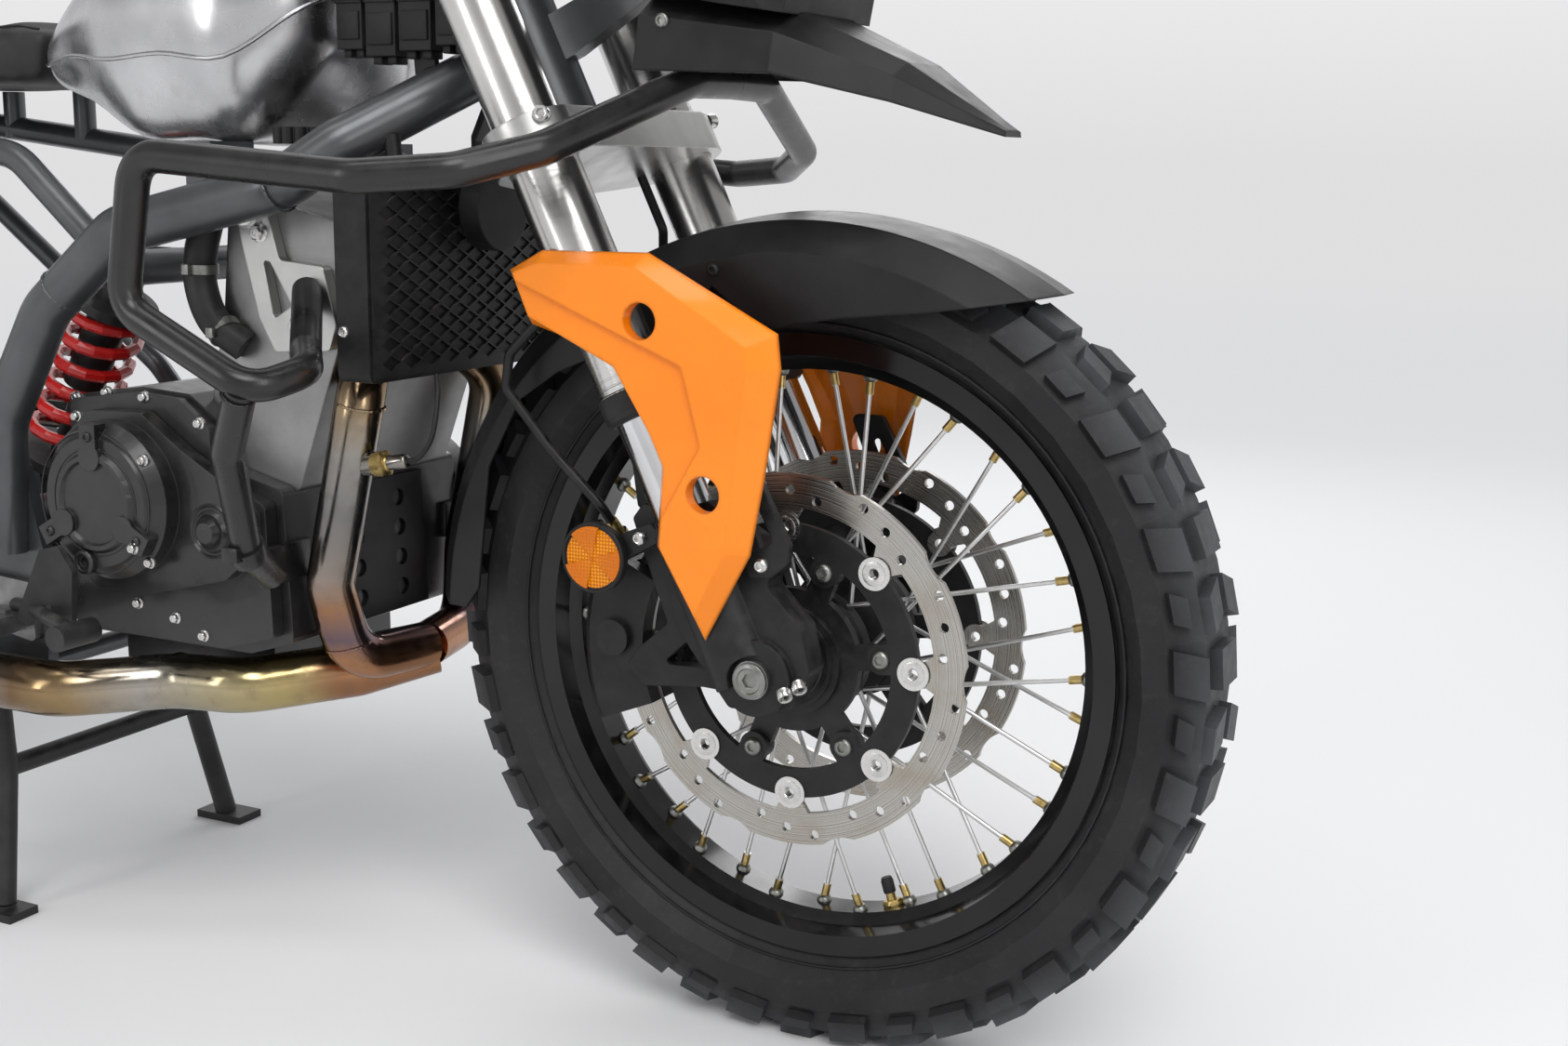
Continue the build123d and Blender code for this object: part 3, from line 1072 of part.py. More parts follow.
def engine_hangers():
    plate = side_plate(HANGER_OUTLINE, -104.3, -115.0, corner=5.0).solid()
    window = side_plate(((-476, 300), (-468, 298), (-446, 262), (-466, 250)), -100.0, -130.0, corner=3.0).solid()
    eye_x, eye_z = HANGER_EYE
    boss = rod((eye_x, -105, eye_z), (eye_x, -124.0, eye_z), 15.0)
    arm = rod((eye_x, -108, eye_z), (eye_x, -150, eye_z + 6.0), 8.0)
    shape = plate.cut(window).fuse(boss, arm)
    fitted = shape.cut(*NODES["main_frame"].solids())
    add("engine_hangers", both_sides(fitted))


SILENCER_LOW = (-1000.0, -200.0, 90.0)
SILENCER_HIGH = (-1440.0, -214.0, 300.0)
SILENCER_R = 54.0


def exhaust():
    low = Vector(*SILENCER_LOW)
    high = Vector(*SILENCER_HIGH)
    axis = (high - low).normalized()
    right = bent_tube([(-406, -62, 222), (-390, -98, 188), (-428, -100, 20), (-420, -84, -44),
                       (-402, 0, -52)], HEADER_R, 24.0)
    main = bent_tube([(-402, 10, -56), (-450, -40, -72), (-520, -112, -80), (-590, -120, -82),
                      (-672, -184, -86), (-850, -190, -84), (-905, -195, 10), low - axis * 50.0, low],
                     MAIN_PIPE_R, 24.0)
    bung = rod((-404, -99, 126), (-368, -100, 132), 9.0)
    sensor = rod((-370, -100, 131.7), (-342, -100, 136.3), 6.0)
    body = right.fuse(mirror(right, about=Plane.XZ).solid(), main, bung, sensor)
    add("exhaust_header", body.cut(*NODES["engine_top"].solids()))
    start = low + axis * SEAT_GAP
    cone = Solid.make_cone(30.0, SILENCER_R, 90.0, Plane(origin=start, z_dir=axis))
    can = rod(start + axis * 89.0, high - axis * 40.0, SILENCER_R)
    tail = Solid.make_cone(SILENCER_R, 34.0, 40.0, Plane(origin=high - axis * 41.0, z_dir=axis))
    outlet = rod(high - axis * 60.0, high + axis * 30.0, 17.0)
    add("silencer", cone.fuse(can, tail).cut(outlet))


RADIATOR_X = -330.0
RADIATOR_T = 32.0
RADIATOR_HALF = 160.0
RADIATOR_LOW = 207.0
RADIATOR_HIGH = 372.0
MESH_CELL = (27.0, 15.0)
MESH_WIRE = 1.3
MESH_BORDER = 6.0
MESH_T = 2.0
FILLER_CAP = (-455.0, -80.0, 402.0)
FILLER_CAP_R = 22.0
FILLER_CAP_T = 14.0


def radiator():
    core = front_plate(((-RADIATOR_HALF, RADIATOR_LOW), (RADIATOR_HALF, RADIATOR_LOW),
                        (RADIATOR_HALF, RADIATOR_HIGH), (-RADIATOR_HALF, RADIATOR_HIGH)),
                       RADIATOR_X - RADIATOR_T, RADIATOR_X, corner=8.0).solid()
    brackets = [rod((RADIATOR_X - 18.0, y, RADIATOR_HIGH - 4.0), (RADIATOR_X - 22.0, y, 404), 7.0) for y in (-96, 96)]
    cap_x, cap_y, cap_z = FILLER_CAP
    neck = bent_tube([(RADIATOR_X - 14.0, -62, RADIATOR_HIGH - 8.0), (RADIATOR_X - 40.0, -66, 380),
                      (cap_x, cap_y, 381), (cap_x, cap_y, cap_z)], 11.0, 12.0)
    lobes = [Rot(0, 0, 30.0 * index) * Pos(FILLER_CAP_R, 0) * Circle(5.0) for index in range(12)]
    lid = extrude(Pos(cap_x, cap_y, cap_z - 6.0) * (Circle(FILLER_CAP_R) + lobes), amount=FILLER_CAP_T)
    add("radiator", core.fuse(*brackets, neck, lid.solid()).cut(*NODES["main_frame"].solids()))
    wide, high = MESH_CELL
    rows = int((RADIATOR_HIGH - RADIATOR_LOW - 2 * MESH_BORDER) / (high / 2))
    columns = int((2 * RADIATOR_HALF - 2 * MESH_BORDER) / wide)
    middle = (RADIATOR_LOW + RADIATOR_HIGH) / 2
    cells = []
    for row in range(1, rows):
        count = columns if row % 2 else columns - 1
        for column in range(count):
            y = (column - (count - 1) / 2) * wide
            z = middle + (row - rows / 2) * high / 2
            cells.append(Polygon((y - wide / 2 + MESH_WIRE, z), (y, z - high / 2 + MESH_WIRE),
                                 (y + wide / 2 - MESH_WIRE, z), (y, z + high / 2 - MESH_WIRE), align=None))
    sheet = Pos(0, middle) * Rectangle(2 * RADIATOR_HALF - 6.0, RADIATOR_HIGH - RADIATOR_LOW - 6.0) - cells
    plane = Plane(origin=(RADIATOR_X + SEAT_GAP, 0, 0), x_dir=(0, 1, 0), z_dir=(1, 0, 0))
    add("radiator_guard", extrude(plane * sheet, amount=MESH_T))
    horn = rod((-316, -20, 345), (-296, -20, 345), 36.0)
    cup = rod((-325.5, -20, 345), (-316, -20, 345), 14.0)
    strap = side_plate(((-322, 350), (-318, 350), (-318, 400), (-290, 452), (-296, 458), (-322, 404)), -28.0, -12.0)
    tools = NODES["main_frame"].solids()
    horn = horn.fuse(cup, strap.solid()).cut(*tools)
    add("horn", Compound(children=[horn.solid(), relay_block().cut(*tools).solid()]))


# Columns: middle along X, height of the lower end, height of the box, width along X
RELAYS = (
    (-413.0, 474.0, 46.0, 26.0),
    (-381.0, 468.0, 52.0, 30.0),
    (-346.0, 472.0, 48.0, 32.0),
    (-312.0, 476.0, 44.0, 26.0),
)


def relay_block():
    """Row of relays below one carrier, with a bracket down to the frame spar."""
    carrier = Pos(-362, -57, 518) * Box(134, 30, 10)
    bracket = side_plate(((-352, 424), (-330, 424), (-336, 484), (-356, 484)), -60.0, -54.0).solid()
    boxes = []
    for x, low, tall, wide in RELAYS:
        boxes.append((Pos(x, -57, low + tall / 2) * Box(wide, 26, tall)).solid())
    return carrier.solid().fuse(bracket, *boxes).solid()


# Body work
def cut_to_views(side, top, front_view, y_half, z_low, z_high, x_low, x_high, corner=0.0):
    """Solid shared by a side-view, a top-view and a front-view outline."""
    body = side_plate(side, -y_half, y_half, corner=corner)
    body = body & top_plate(top, z_low, z_high, corner=corner)
    return (body & front_plate(front_view, x_low, x_high, corner=corner)).solid()


# Columns: station along X, lower height, upper height, half widths below, at the middle and on top
TANK_STATIONS = (
    (-436, 500, 566, 34, 52, 34),
    (-452, 462, 588, 72, 92, 56),
    (-500, TANK_FLOOR_Z, 610, 104, 126, 74),
    (-565, TANK_FLOOR_Z, 622, 112, 132, 80),
    (-628, TANK_FLOOR_Z, 606, 108, 128, 74),
    (-700, 428, 560, 84, 100, 60),
    (-752, 442, 500, 74, 82, 62),
)
TANK_CORNER = 12.0


def fuel_tank():
    sections = []
    for x, low, high, half_low, half_mid, half_top in TANK_STATIONS:
        tall = high - low
        half = ((half_low, low), (half_mid, low + 0.35 * tall), (half_mid - 4, low + 0.7 * tall), (half_top, high))
        face = fillet(Polygon(*mirrored_outline(half), align=None).vertices(), radius=TANK_CORNER)
        sections.append(Plane(origin=(x, 0, 0), x_dir=(0, 1, 0), z_dir=(1, 0, 0)) * face)
    body = loft(sections, ruled=True).solid()
    neck = rod((-560, 0, 612), (-560, 0, 630), 36.0)
    cap = rod((-560, 0, 628), (-560, 0, 634), 32.0)
    add("fuel_tank", body.fuse(neck, cap))


SEAT_SIDE = (
    (-762, 452), (-756, 500), (-790, 500), (-900, 480), (-1010, 486), (-1060, 530), (-1330, 548), (-1352, 530),
    (-1340, 500), (-1090, 470), (-980, 446),
)


def seat():
    top = ((-750, 70), (-800, 84), (-950, 132), (-1050, 134), (-1340, 108))
    top = list(top) + [(x, -y) for x, y in reversed(top)]
    front = mirrored_outline(((134, 430), (138, 500), (120, 552)))
    shape = cut_to_views(SEAT_SIDE, top, front, 140.0, 430.0, 560.0, -1360.0, -745.0, corner=6.0)
    add("seat", shape)


def tail():
    side = ((-1062, 419), (-1062, 463.6), (-1090, 469.7), (-1340, 499.7), (-1356, 530), (-1420, 536), (-1560, 520),
            (-1580, 500), (-1560, 472), (-1400, 446))
    top = ((-1040, 134), (-1200, 132), (-1400, 112), (-1560, 80), (-1585, 60))
    top = list(top) + [(x, -y) for x, y in reversed(top)]
    front = mirrored_outline(((140, 410), (138, 500), (110, 545)))
    body = cut_to_views(side, top, front, 140.0, 410.0, 560.0, -1600.0, -1030.0, corner=0.0)
    add("tail_fairing", body.cut(*NODES["subframe"].solids()))
    lamp = front_plate(((-52, 484), (52, 484), (60, 512), (-60, 512)), -1580.5, -1598.0, corner=6.0)
    add("tail_lamp", lamp.solid())


def tail_parts():
    rail = bent_tube([(-1330, -92, 556), (-1360, -104, 572), (-1540, -96, 576), (-1600, -60, 574),
                      (-1600, 60, 574), (-1540, 96, 576), (-1360, 104, 572), (-1330, 92, 556)], 9.0, 20.0)
    deck = top_plate(((-1380, -92), (-1380, 92), (-1560, 84), (-1586, 56), (-1586, -56), (-1560, -84)),
                     568.0, 574.0, corner=4.0).solid()
    legs = [rod((x, y, 522), (x, y, 570), 8.0) for x in (-1380, -1480) for y in (-84, 84)]
    holes = [rod((x, y, 540), (x, y, 600), RACK_HOLE_R)
             for x in (RACK_X - RACK_SPACING_X / 2, RACK_X + RACK_SPACING_X / 2)
             for y in (-RACK_SPACING_Y / 2, RACK_SPACING_Y / 2)]
    body = rail.fuse(deck, *legs).cut(*holes)
    body = body.cut(*NODES["tail_fairing"].solids())
    add("luggage_rack", body)
    lean = radians(PLATE_LEAN_DEG)
    up = Vector(sin(lean), 0, cos(lean))
    ahead = Vector(cos(lean), 0, -sin(lean))
    centre = Vector(-TAIL_REACH, 0, PLATE_LOW_Z) + up * (PLATE_H / 2) + ahead * (PLATE_THICK / 2)
    corners = [centre + up * 60.0, centre - up * 60.0, centre - up * 60.0 + ahead * 14.0, centre + up * 50.0 + ahead * 20.0]
    arm = side_plate([(-1500, 450), (-1530, 470), (-1560, 462)] + [(c.X, c.Z) for c in corners], -30.0, 30.0).solid()
    plate = Plane(origin=centre, x_dir=(0, 1, 0), z_dir=-ahead) * Box(PLATE_W, PLATE_H, PLATE_THICK)
    bracket = arm.fuse(plate.solid())
    add("plate_bracket", bracket.cut(*NODES["subframe"].solids(), *NODES["tail_fairing"].solids()))


PLATE_LEAN_DEG = 21.2
PLATE_LOW_Z = 104.0
PLATE_W = 200.0
PLATE_H = 140.0
PLATE_THICK = 3.0
RACK_X = -1470.0
RACK_SPACING_X = 120.0
RACK_SPACING_Y = 100.0
RACK_HOLE_R = 3.3


def beak():
    stations = ((-122, 100, 453, 522), (-10, 95, 450, 500), (75, 66, 430, 462), (148, 18, 406, 413))
    outer = []
    inner = []
    wall = 4.0
    for x, half, low, crest in stations:
        mid = low + (crest - low) * 0.6
        ring = ((-half, low), (-half * 0.9, mid), (-half * 0.5, crest - 2), (half * 0.5, crest - 2),
                (half * 0.9, mid), (half, low))
        plane = Plane(origin=(x, 0, 0), x_dir=(0, 1, 0), z_dir=(1, 0, 0))
        outer.append(plane * Polygon(*ring, align=None))
        thin = max(half - wall, 4.0)
        roof = max(crest - 2 - wall, low + 0.5)
        under = ((-thin, low - 30), (-thin * 0.9, min(mid, roof) - 1.0), (-thin * 0.5, roof), (thin * 0.5, roof),
                 (thin * 0.9, min(mid, roof) - 1.0), (thin, low - 30))
        inner.append(plane * Polygon(*under, align=None))
    shell = loft(outer, ruled=True)
    hollow = loft(inner[:3], ruled=True)
    body = shell.solid().cut(hollow.solid())
    add("beak", body.solids().sort_by(SortBy.VOLUME)[-1])


def front_cowl():
    side = ((-128, 514), (-60, 502), (-6, 494), (10, 560), (-20, 650), (-90, 690), (-150, 700), (-176, 640),
            (-150, 560))
    top = ((12, 70), (-40, 96), (-180, 100))
    top = list(top) + [(x, -y) for x, y in reversed(top)]
    front = mirrored_outline(((84, 490), (106, 560), (104, 640), (80, 705)))
    body = cut_to_views(side, top, front, 120.0, 490.0, 710.0, -190.0, 20.0, corner=0.0)
    lamp_cut = front_plate(((-62, 540), (62, 540), (70, 600), (50, 650), (-50, 650), (-70, 600)), -50.0, 40.0,
                           corner=8.0)
    lamp = front_plate(((-61.7, 540.3), (61.7, 540.3), (69.6, 600), (49.8, 649.7), (-49.8, 649.7),
                        (-69.6, 600)), -49.7, 40.0, corner=8.0)
    lens = (lamp & side_plate(((-60, 536), (-4, 530), (6, 562), (-22, 652), (-60, 656)), -90.0, 90.0)).solid()
    add("headlamp", lens)
    add("front_cowl", body.cut(lamp_cut).cut(*NODES["main_frame"].solids(), *NODES["beak"].solids()))
    glass = side_plate(((-47.5, 671.8), (-87.0, 694.6), (-98, 705), (-150, 790), (-214, 910), (-222, 908),
                        (-156, 788), (-104, 702), (-90.0, 690.36), (-50.0, 667.5)), -120.0, 120.0)
    view = front_plate(((-74, 660), (-112, 760), (-110, 860), (-80, 915), (80, 915), (110, 860), (112, 760),
                        (74, 660)), -240.0, -40.0, corner=10.0)
    add("windscreen", (glass & view).solid())
    dash = Plane(origin=(-190, 0, 712), x_dir=(0, 1, 0), z_dir=(-cos(radians(35)), 0, sin(radians(35)))) * Box(
        150, 96, 26)
    mount = rod((-186, 0, 709), (-150, 0, 688), 8.0)
    add("instrument_panel", dash.solid().fuse(mount).cut(*NODES["front_cowl"].solids()))


# Guards, foot controls and stands
def crash_bars():
    upper = bent_tube([(-91, 0, 447), (-92, -62, 446), (-128, -212, 394), (-170, -262, 378), (-236, -292, 373),
                       (-438, -292, 387), (-458, -292, 272), (-342, -286, 214), (-326, -240, 226),
                       (-376, -182, 234), (-428, -116, 276)], CRASH_BAR_R, 24.0)
    lower = bent_tube([(-352, -284, 216), (-392, -258, 160), (-424, -206, 70), (-440, -160, 40)], CRASH_BAR_R, 30.0)
    tab = side_plate(((-458, 26), (-458, 60), (-450, 60), (-450, 26)), -96.0, -158.0).solid()
    body = upper.fuse(mirror(upper, about=Plane.XZ).solid(), lower, mirror(lower, about=Plane.XZ).solid(),
                      tab, mirror(tab, about=Plane.XZ).solid())
    tools = [solid for name in ("main_frame", "radiator", "engine_case", "engine_covers", "engine_hangers", "engine_top")
             for solid in NODES[name].solids()]
    add("crash_bars", body.cut(*tools))


def engine_guards():
    front = side_plate(((-457.2, 97), (-451.6, -28), (-448.6, -28), (-454.2, 97)), -66.0, 66.0)
    under = side_plate(((-566, -112.3), (-566, -116), (-664, -116), (-664, -112.3)), -60.0, 88.0)
    slots = []
    for z in (-8.0, 20.0, 48.0, 76.0):
        slots.append(rod((-480, -30, z), (-430, -30, z), 8.0))
        slots.append(rod((-480, 30, z), (-430, 30, z), 8.0))
    add("engine_guards", Compound(children=[front.solid().cut(*slots).solid(), under.solid()]))


def foot_controls():
    pieces = []
    hanger = side_plate(((-722, 2), (-790, 6), (-806, -40), (-720, -54)), -PLATE_INNER_Y - PLATE_T - SEAT_GAP,
                        -PLATE_INNER_Y - PLATE_T - 9.0, corner=6.0).solid()
    peg = Pos(-752, -232, -34) * Box(46, 116, 16)
    tongue = Pos(-752, -166, -34) * Box(24, 20, 22)
    pegs = hanger.fuse(peg.solid(), tongue.solid())
    shaft = rod((PIVOT_X, -PLATE_INNER_Y - 40, PIVOT_Z), (PIVOT_X, -PLATE_INNER_Y, PIVOT_Z), PIVOT_SHAFT_R + 4.0)
    add("footpegs", both_sides(pegs.cut(shaft)))
    arm = bent_tube([(-734, -167.9, -18), (-700, -182, -14), (-640, -216, -10), (-592, -232, -14)], 6.5, 20.0)
    pad = rod((-592, -214, -14), (-592, -256, -14), 11.0)
    quadrant = side_plate(((-704, -22), (-670, 44), (-648, 50), (-632, 28), (-636, -20), (-650, -26), (-660, 0),
                           (-690, -28)), -190.0, -196.0, corner=4.0).solid()
    add("foot_levers", both_sides(arm.fuse(pad, quadrant)))


def centre_stand():
    x, z = CENTRE_STAND_X, CENTRE_STAND_Z
    foot_x = x + 20.0
    sides = []
    for side in (-1, 1):
        eye = rod((x, side * 119, z), (x, side * 135, z), 19.0)
        leg = bent_tube([(x, side * 126, z - 4), (x + 5, side * 126, z - 90), (foot_x, side * 152, FLOOR_Z + 8)],
                        11.0, 60.0)
        foot = Pos(foot_x, side * 156, FLOOR_Z + 4) * Box(60, 34, 8)
        sides.extend([eye, leg, foot.solid()])
    bar = rod((x + 5, -126, z - 92), (x + 5, 126, z - 92), 10.0)
    body = sides[0].fuse(*sides[1:], bar)
    hole = rod((x, -200, z), (x, 200, z), STAND_PIN_R + FIT_GAP)
    floor_cut = Pos(foot_x, 0, FLOOR_Z - 50) * Box(400, 600, 100)
    add("centre_stand", body.cut(hole, floor_cut))


SIDE_FOLDED = Vector(-1.0, 0.05, 0.10).normalized()
SIDE_DEPLOYED = Vector(0.16, 0.40, -0.90).normalized()


def side_stand():
    pivot = Vector(*SIDE_STAND_PIVOT)
    axis = SIDE_FOLDED.cross(SIDE_DEPLOYED).normalized()
    outward = axis if axis.Y > 0 else axis * -1
    eye = rod(pivot - outward * 7.0, pivot + outward * 7.0, 17.0)
    tongue = Plane(origin=pivot + SIDE_FOLDED * 17.0, x_dir=SIDE_FOLDED, z_dir=outward) * Box(34, 24, 14)
    leg = rod(pivot + SIDE_FOLDED * 28.0, pivot + SIDE_FOLDED * SIDE_STAND_L, 10.0)
    foot = rod(pivot + SIDE_FOLDED * (SIDE_STAND_L - 4.0), pivot + SIDE_FOLDED * (SIDE_STAND_L + 3.0), 24.0)
    hole = rod(pivot - outward * 30.0, pivot + outward * 30.0, 8.0 + FIT_GAP)
    add("side_stand", eye.fuse(tongue.solid(), leg, foot).cut(hole))
    lug = rod(pivot - outward * 22.0, pivot - outward * 8.0, 17.0)
    pin = rod(pivot - outward * 20.0, pivot + outward * 12.0, 8.0)
    frame_plate = side_plate(((-705, 0), (-668, -66), (-672, -96), (-704, -104), (-730, -90)),
                             PLATE_INNER_Y, PLATE_INNER_Y + PLATE_T, corner=4.0)
    add("main_frame", NODES["main_frame"].solid().fuse(lug, pin, frame_plate.solid()))


def build_all():
    front_wheel()
    rear_wheel()
    fork_tubes()
    fork_clamps()
    fork_feet()
    front_axle()
    front_calipers()
    front_fender()
    fork_guards()
    handlebar()
    main_frame()
    side_stand()
    centre_stand()
    subframe()
    swingarm()
    rear_axle()
    rear_shock()
    chain()
    chain_guard()
    rear_caliper()
    engine()
    engine_hangers()
    exhaust()
    radiator()
    fuel_tank()
    seat()
    tail()
    tail_parts()
    beak()
    front_cowl()
    crash_bars()
    engine_guards()
    foot_controls()


def export_all():
    os.makedirs("parts", exist_ok=True)
    for name, shape in NODES.items():
        export_step(ORIGIN_SHIFT * shape, "parts/" + name + ".step")


build_all()
export_all()
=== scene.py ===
import json
from math import copysign, cos, pi, radians, sin, tan

import bmesh
import bpy
from mathutils import Matrix, Vector
from mathutils.bvhtree import BVHTree


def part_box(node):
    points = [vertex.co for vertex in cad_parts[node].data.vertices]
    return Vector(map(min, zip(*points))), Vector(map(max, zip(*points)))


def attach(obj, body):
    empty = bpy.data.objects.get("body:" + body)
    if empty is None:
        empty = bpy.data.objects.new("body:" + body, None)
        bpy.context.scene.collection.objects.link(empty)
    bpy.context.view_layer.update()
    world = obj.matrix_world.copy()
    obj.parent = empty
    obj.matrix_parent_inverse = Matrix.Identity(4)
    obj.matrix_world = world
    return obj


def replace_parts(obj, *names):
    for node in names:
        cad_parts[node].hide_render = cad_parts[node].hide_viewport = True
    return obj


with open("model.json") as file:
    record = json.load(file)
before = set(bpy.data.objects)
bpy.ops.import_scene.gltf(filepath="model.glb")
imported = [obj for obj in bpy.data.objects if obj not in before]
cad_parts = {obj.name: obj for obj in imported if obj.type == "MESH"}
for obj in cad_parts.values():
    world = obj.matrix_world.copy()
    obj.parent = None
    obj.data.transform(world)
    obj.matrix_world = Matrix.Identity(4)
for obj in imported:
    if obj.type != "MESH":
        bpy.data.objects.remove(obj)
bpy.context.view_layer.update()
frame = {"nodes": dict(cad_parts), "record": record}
NODES = frame["nodes"]
SCENE = bpy.context.scene

# Places are in metres. MM turns a length of the part's own drawing into metres.
MM = 0.001
AXLE = Vector((0.729, 0.0, 0.332))
REAR_AXLE = Vector((-0.696, 0.0, 0.333))

# Camera of the photograph
PHOTO_W, PHOTO_H = 1686.0, 1125.0
FOCAL = 2054.4
CAMERA_AT = AXLE + Vector((0.6411, -1.3763, 0.3901))
YAW, PITCH, ROLL = (radians(angle) for angle in (26.29, -10.86, 0.65))
AHEAD = Vector((-sin(YAW) * cos(PITCH), cos(YAW) * cos(PITCH), sin(PITCH)))
LEVEL = Vector((cos(YAW), sin(YAW), 0.0))
ACROSS = LEVEL * cos(ROLL) + LEVEL.cross(AHEAD) * sin(ROLL)
UPWARD = LEVEL.cross(AHEAD) * cos(ROLL) - LEVEL * sin(ROLL)
RIGHT = Vector((0.0, -1.0, 0.0))
LEFT = -RIGHT
UP = Vector((0.0, 0.0, 1.0))
RAKE = radians(25.7)
UP_FORK = Vector((-sin(RAKE), 0.0, cos(RAKE)))
AHEAD_FORK = Vector((cos(RAKE), 0.0, sin(RAKE)))
FORK_HALF = 108.0


def make_camera():
    data = bpy.data.cameras.new("camera")
    data.sensor_width = 36.0
    data.lens = FOCAL / PHOTO_W * data.sensor_width
    data.clip_start = 0.05
    data.clip_end = 100.0
    camera = bpy.data.objects.new("camera", data)
    turn = Matrix((ACROSS, UPWARD, -AHEAD)).transposed()
    camera.matrix_world = Matrix.Translation(CAMERA_AT) @ turn.to_4x4()
    SCENE.collection.objects.link(camera)
    SCENE.camera = camera


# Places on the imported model
TREES = {}


def at(x, y, z):
    """Place given in millimetres from the front axle."""
    return AXLE + Vector((x, y, z)) * MM


def fork_at(ahead, side, along):
    """Place given in millimetres along the fork legs."""
    return AXLE + (AHEAD_FORK * (ahead - 12.0) + UP_FORK * along + Vector((0.0, side, 0.0))) * MM


def tree(node):
    if node not in TREES:
        mesh = NODES[node].data
        TREES[node] = BVHTree.FromPolygons([v.co for v in mesh.vertices], [p.vertices for p in mesh.polygons])
    return TREES[node]


def cast(start, direction, nodes):
    hits = [tree(node).ray_cast(start, direction) for node in nodes]
    hits = [hit for hit in hits if hit[0]]
    return min(hits, key=lambda hit: hit[3])[0] if hits else None


def seen(x, y, *nodes):
    """Place on the nodes that lies behind a place of the photograph."""
    sight = AHEAD * FOCAL + ACROSS * (x - PHOTO_W / 2) - UPWARD * (y - PHOTO_H / 2)
    return cast(CAMERA_AT, sight.normalized(), nodes)


def on_node(place, axis, *nodes, reach=0.08):
    """Place where a line that comes in against the axis meets the nodes."""
    return cast(place + axis * reach, -axis, nodes)


def flip_to(side):
    """Factor that leaves the right-hand side (-1) and mirrors it to the left (1)."""
    return Vector((1.0, -side, 1.0))


def mirrored(pairs):
    """Places and axes of the right-hand side, with their mirror images."""
    flip = flip_to(1)
    return list(pairs) + [(place * flip, axis * flip) for place, axis in pairs]


def turns(count, first=0.0):
    """Angles spaced evenly round a circle, the first given in degrees."""
    return [radians(360.0 / count * i + first) for i in range(count)]


def turned(axis):
    return axis.to_track_quat("Z", "Y").to_matrix()


def skin(bm, low, high):
    """Faces between two loops of vertices; a loop of one vertex is a tip."""
    count = max(len(low), len(high))
    for i in range(count):
        j = (i + 1) % count
        corners = [low[i % len(low)], low[j % len(low)], high[j % len(high)], high[i % len(high)]]
        corners = [v for k, v in enumerate(corners) if v not in corners[:k]]
        if len(corners) > 2:
            bm.faces.new(corners)


def ringed(bm, place, axis, rings, sides=24, closed=False, spin=0.0):
    """Skin through rings of (radius, height), in millimetres; a third value makes a ring six-sided."""
    turn = turned(axis)
    loops = []
    for radius, height, *six in rings:
        count = 1 if radius == 0.0 else sides
        loop = []
        for i in range(count):
            angle = 2.0 * pi * i / sides
            reach = radius / cos(angle % (pi / 3.0) - pi / 6.0) if six else radius
            point = Vector((reach * cos(angle + spin), reach * sin(angle + spin), height)) * MM
            loop.append(bm.verts.new(place + turn @ point))
        loops.append(loop)
    for low, high in zip(loops, loops[1:]):
        skin(bm, low, high)
    if closed:
        skin(bm, loops[-1], loops[0])


def band(inner, outer, low, high):
    """Rings of a flat hoop, for a closed skin."""
    return (inner, low), (outer, low), (outer, high), (inner, high)


def spline(a, b, c, d, t):
    """Place between b and c on the smooth line through four points."""
    return 0.5 * (2.0 * b + (c - a) * t + (2.0 * a - 5.0 * b + 4.0 * c - d) * t * t
                  + (3.0 * b - a - 3.0 * c + d) * t ** 3)


def smooth_path(points, steps=6):
    """Points on a smooth line through the given points."""
    full = [points[0] * 2.0 - points[1], *points, points[-1] * 2.0 - points[-2]]
    path = []
    for a, b, c, d in zip(full, full[1:], full[2:], full[3:]):
        path += [spline(a, b, c, d, i / steps) for i in range(steps)]
    return path + [points[-1]]


def pipe(bm, points, radius, sides=12, steps=6):
    """Round tube along a smooth line; points in metres, radius in millimetres."""
    path = smooth_path(points, steps) if steps > 1 else points
    side = (path[1] - path[0]).orthogonal().normalized()
    loops = []
    for i, point in enumerate(path):
        along = (path[min(i + 1, len(path) - 1)] - path[max(i - 1, 0)]).normalized()
        side = (side - along * side.dot(along)).normalized()
        other = along.cross(side)
        loops.append([bm.verts.new(point + (side * cos(a) + other * sin(a)) * radius * MM)
                      for a in (2.0 * pi * k / sides for k in range(sides))])
    for low, high in zip(loops, loops[1:]):
        skin(bm, low, high)
    for loop, point in ((loops[0], path[0]), (loops[-1], path[-1])):
        skin(bm, loop, [bm.verts.new(point)])


def bent_path(points, bend, steps=10):
    """Straight runs with a round arc at each corner; points and bend in millimetres."""
    path = [Vector(points[0])]
    for before, corner, after in zip(points, points[1:], points[2:]):
        before, corner, after = Vector(before), Vector(corner), Vector(after)
        into = (corner - before).normalized()
        out_of = (after - corner).normalized()
        half = into.angle(out_of) / 2.0
        cut = min(bend * tan(half), 0.48 * (corner - before).length, 0.48 * (after - corner).length)
        start = corner - into * cut
        end = corner + out_of * cut
        for i in range(steps + 1):
            t = i / steps
            path.append(start * (1 - t) ** 2 + corner * (2 * t * (1 - t)) + end * t ** 2)
    return [at(*p) for p in path + [Vector(points[-1])]]


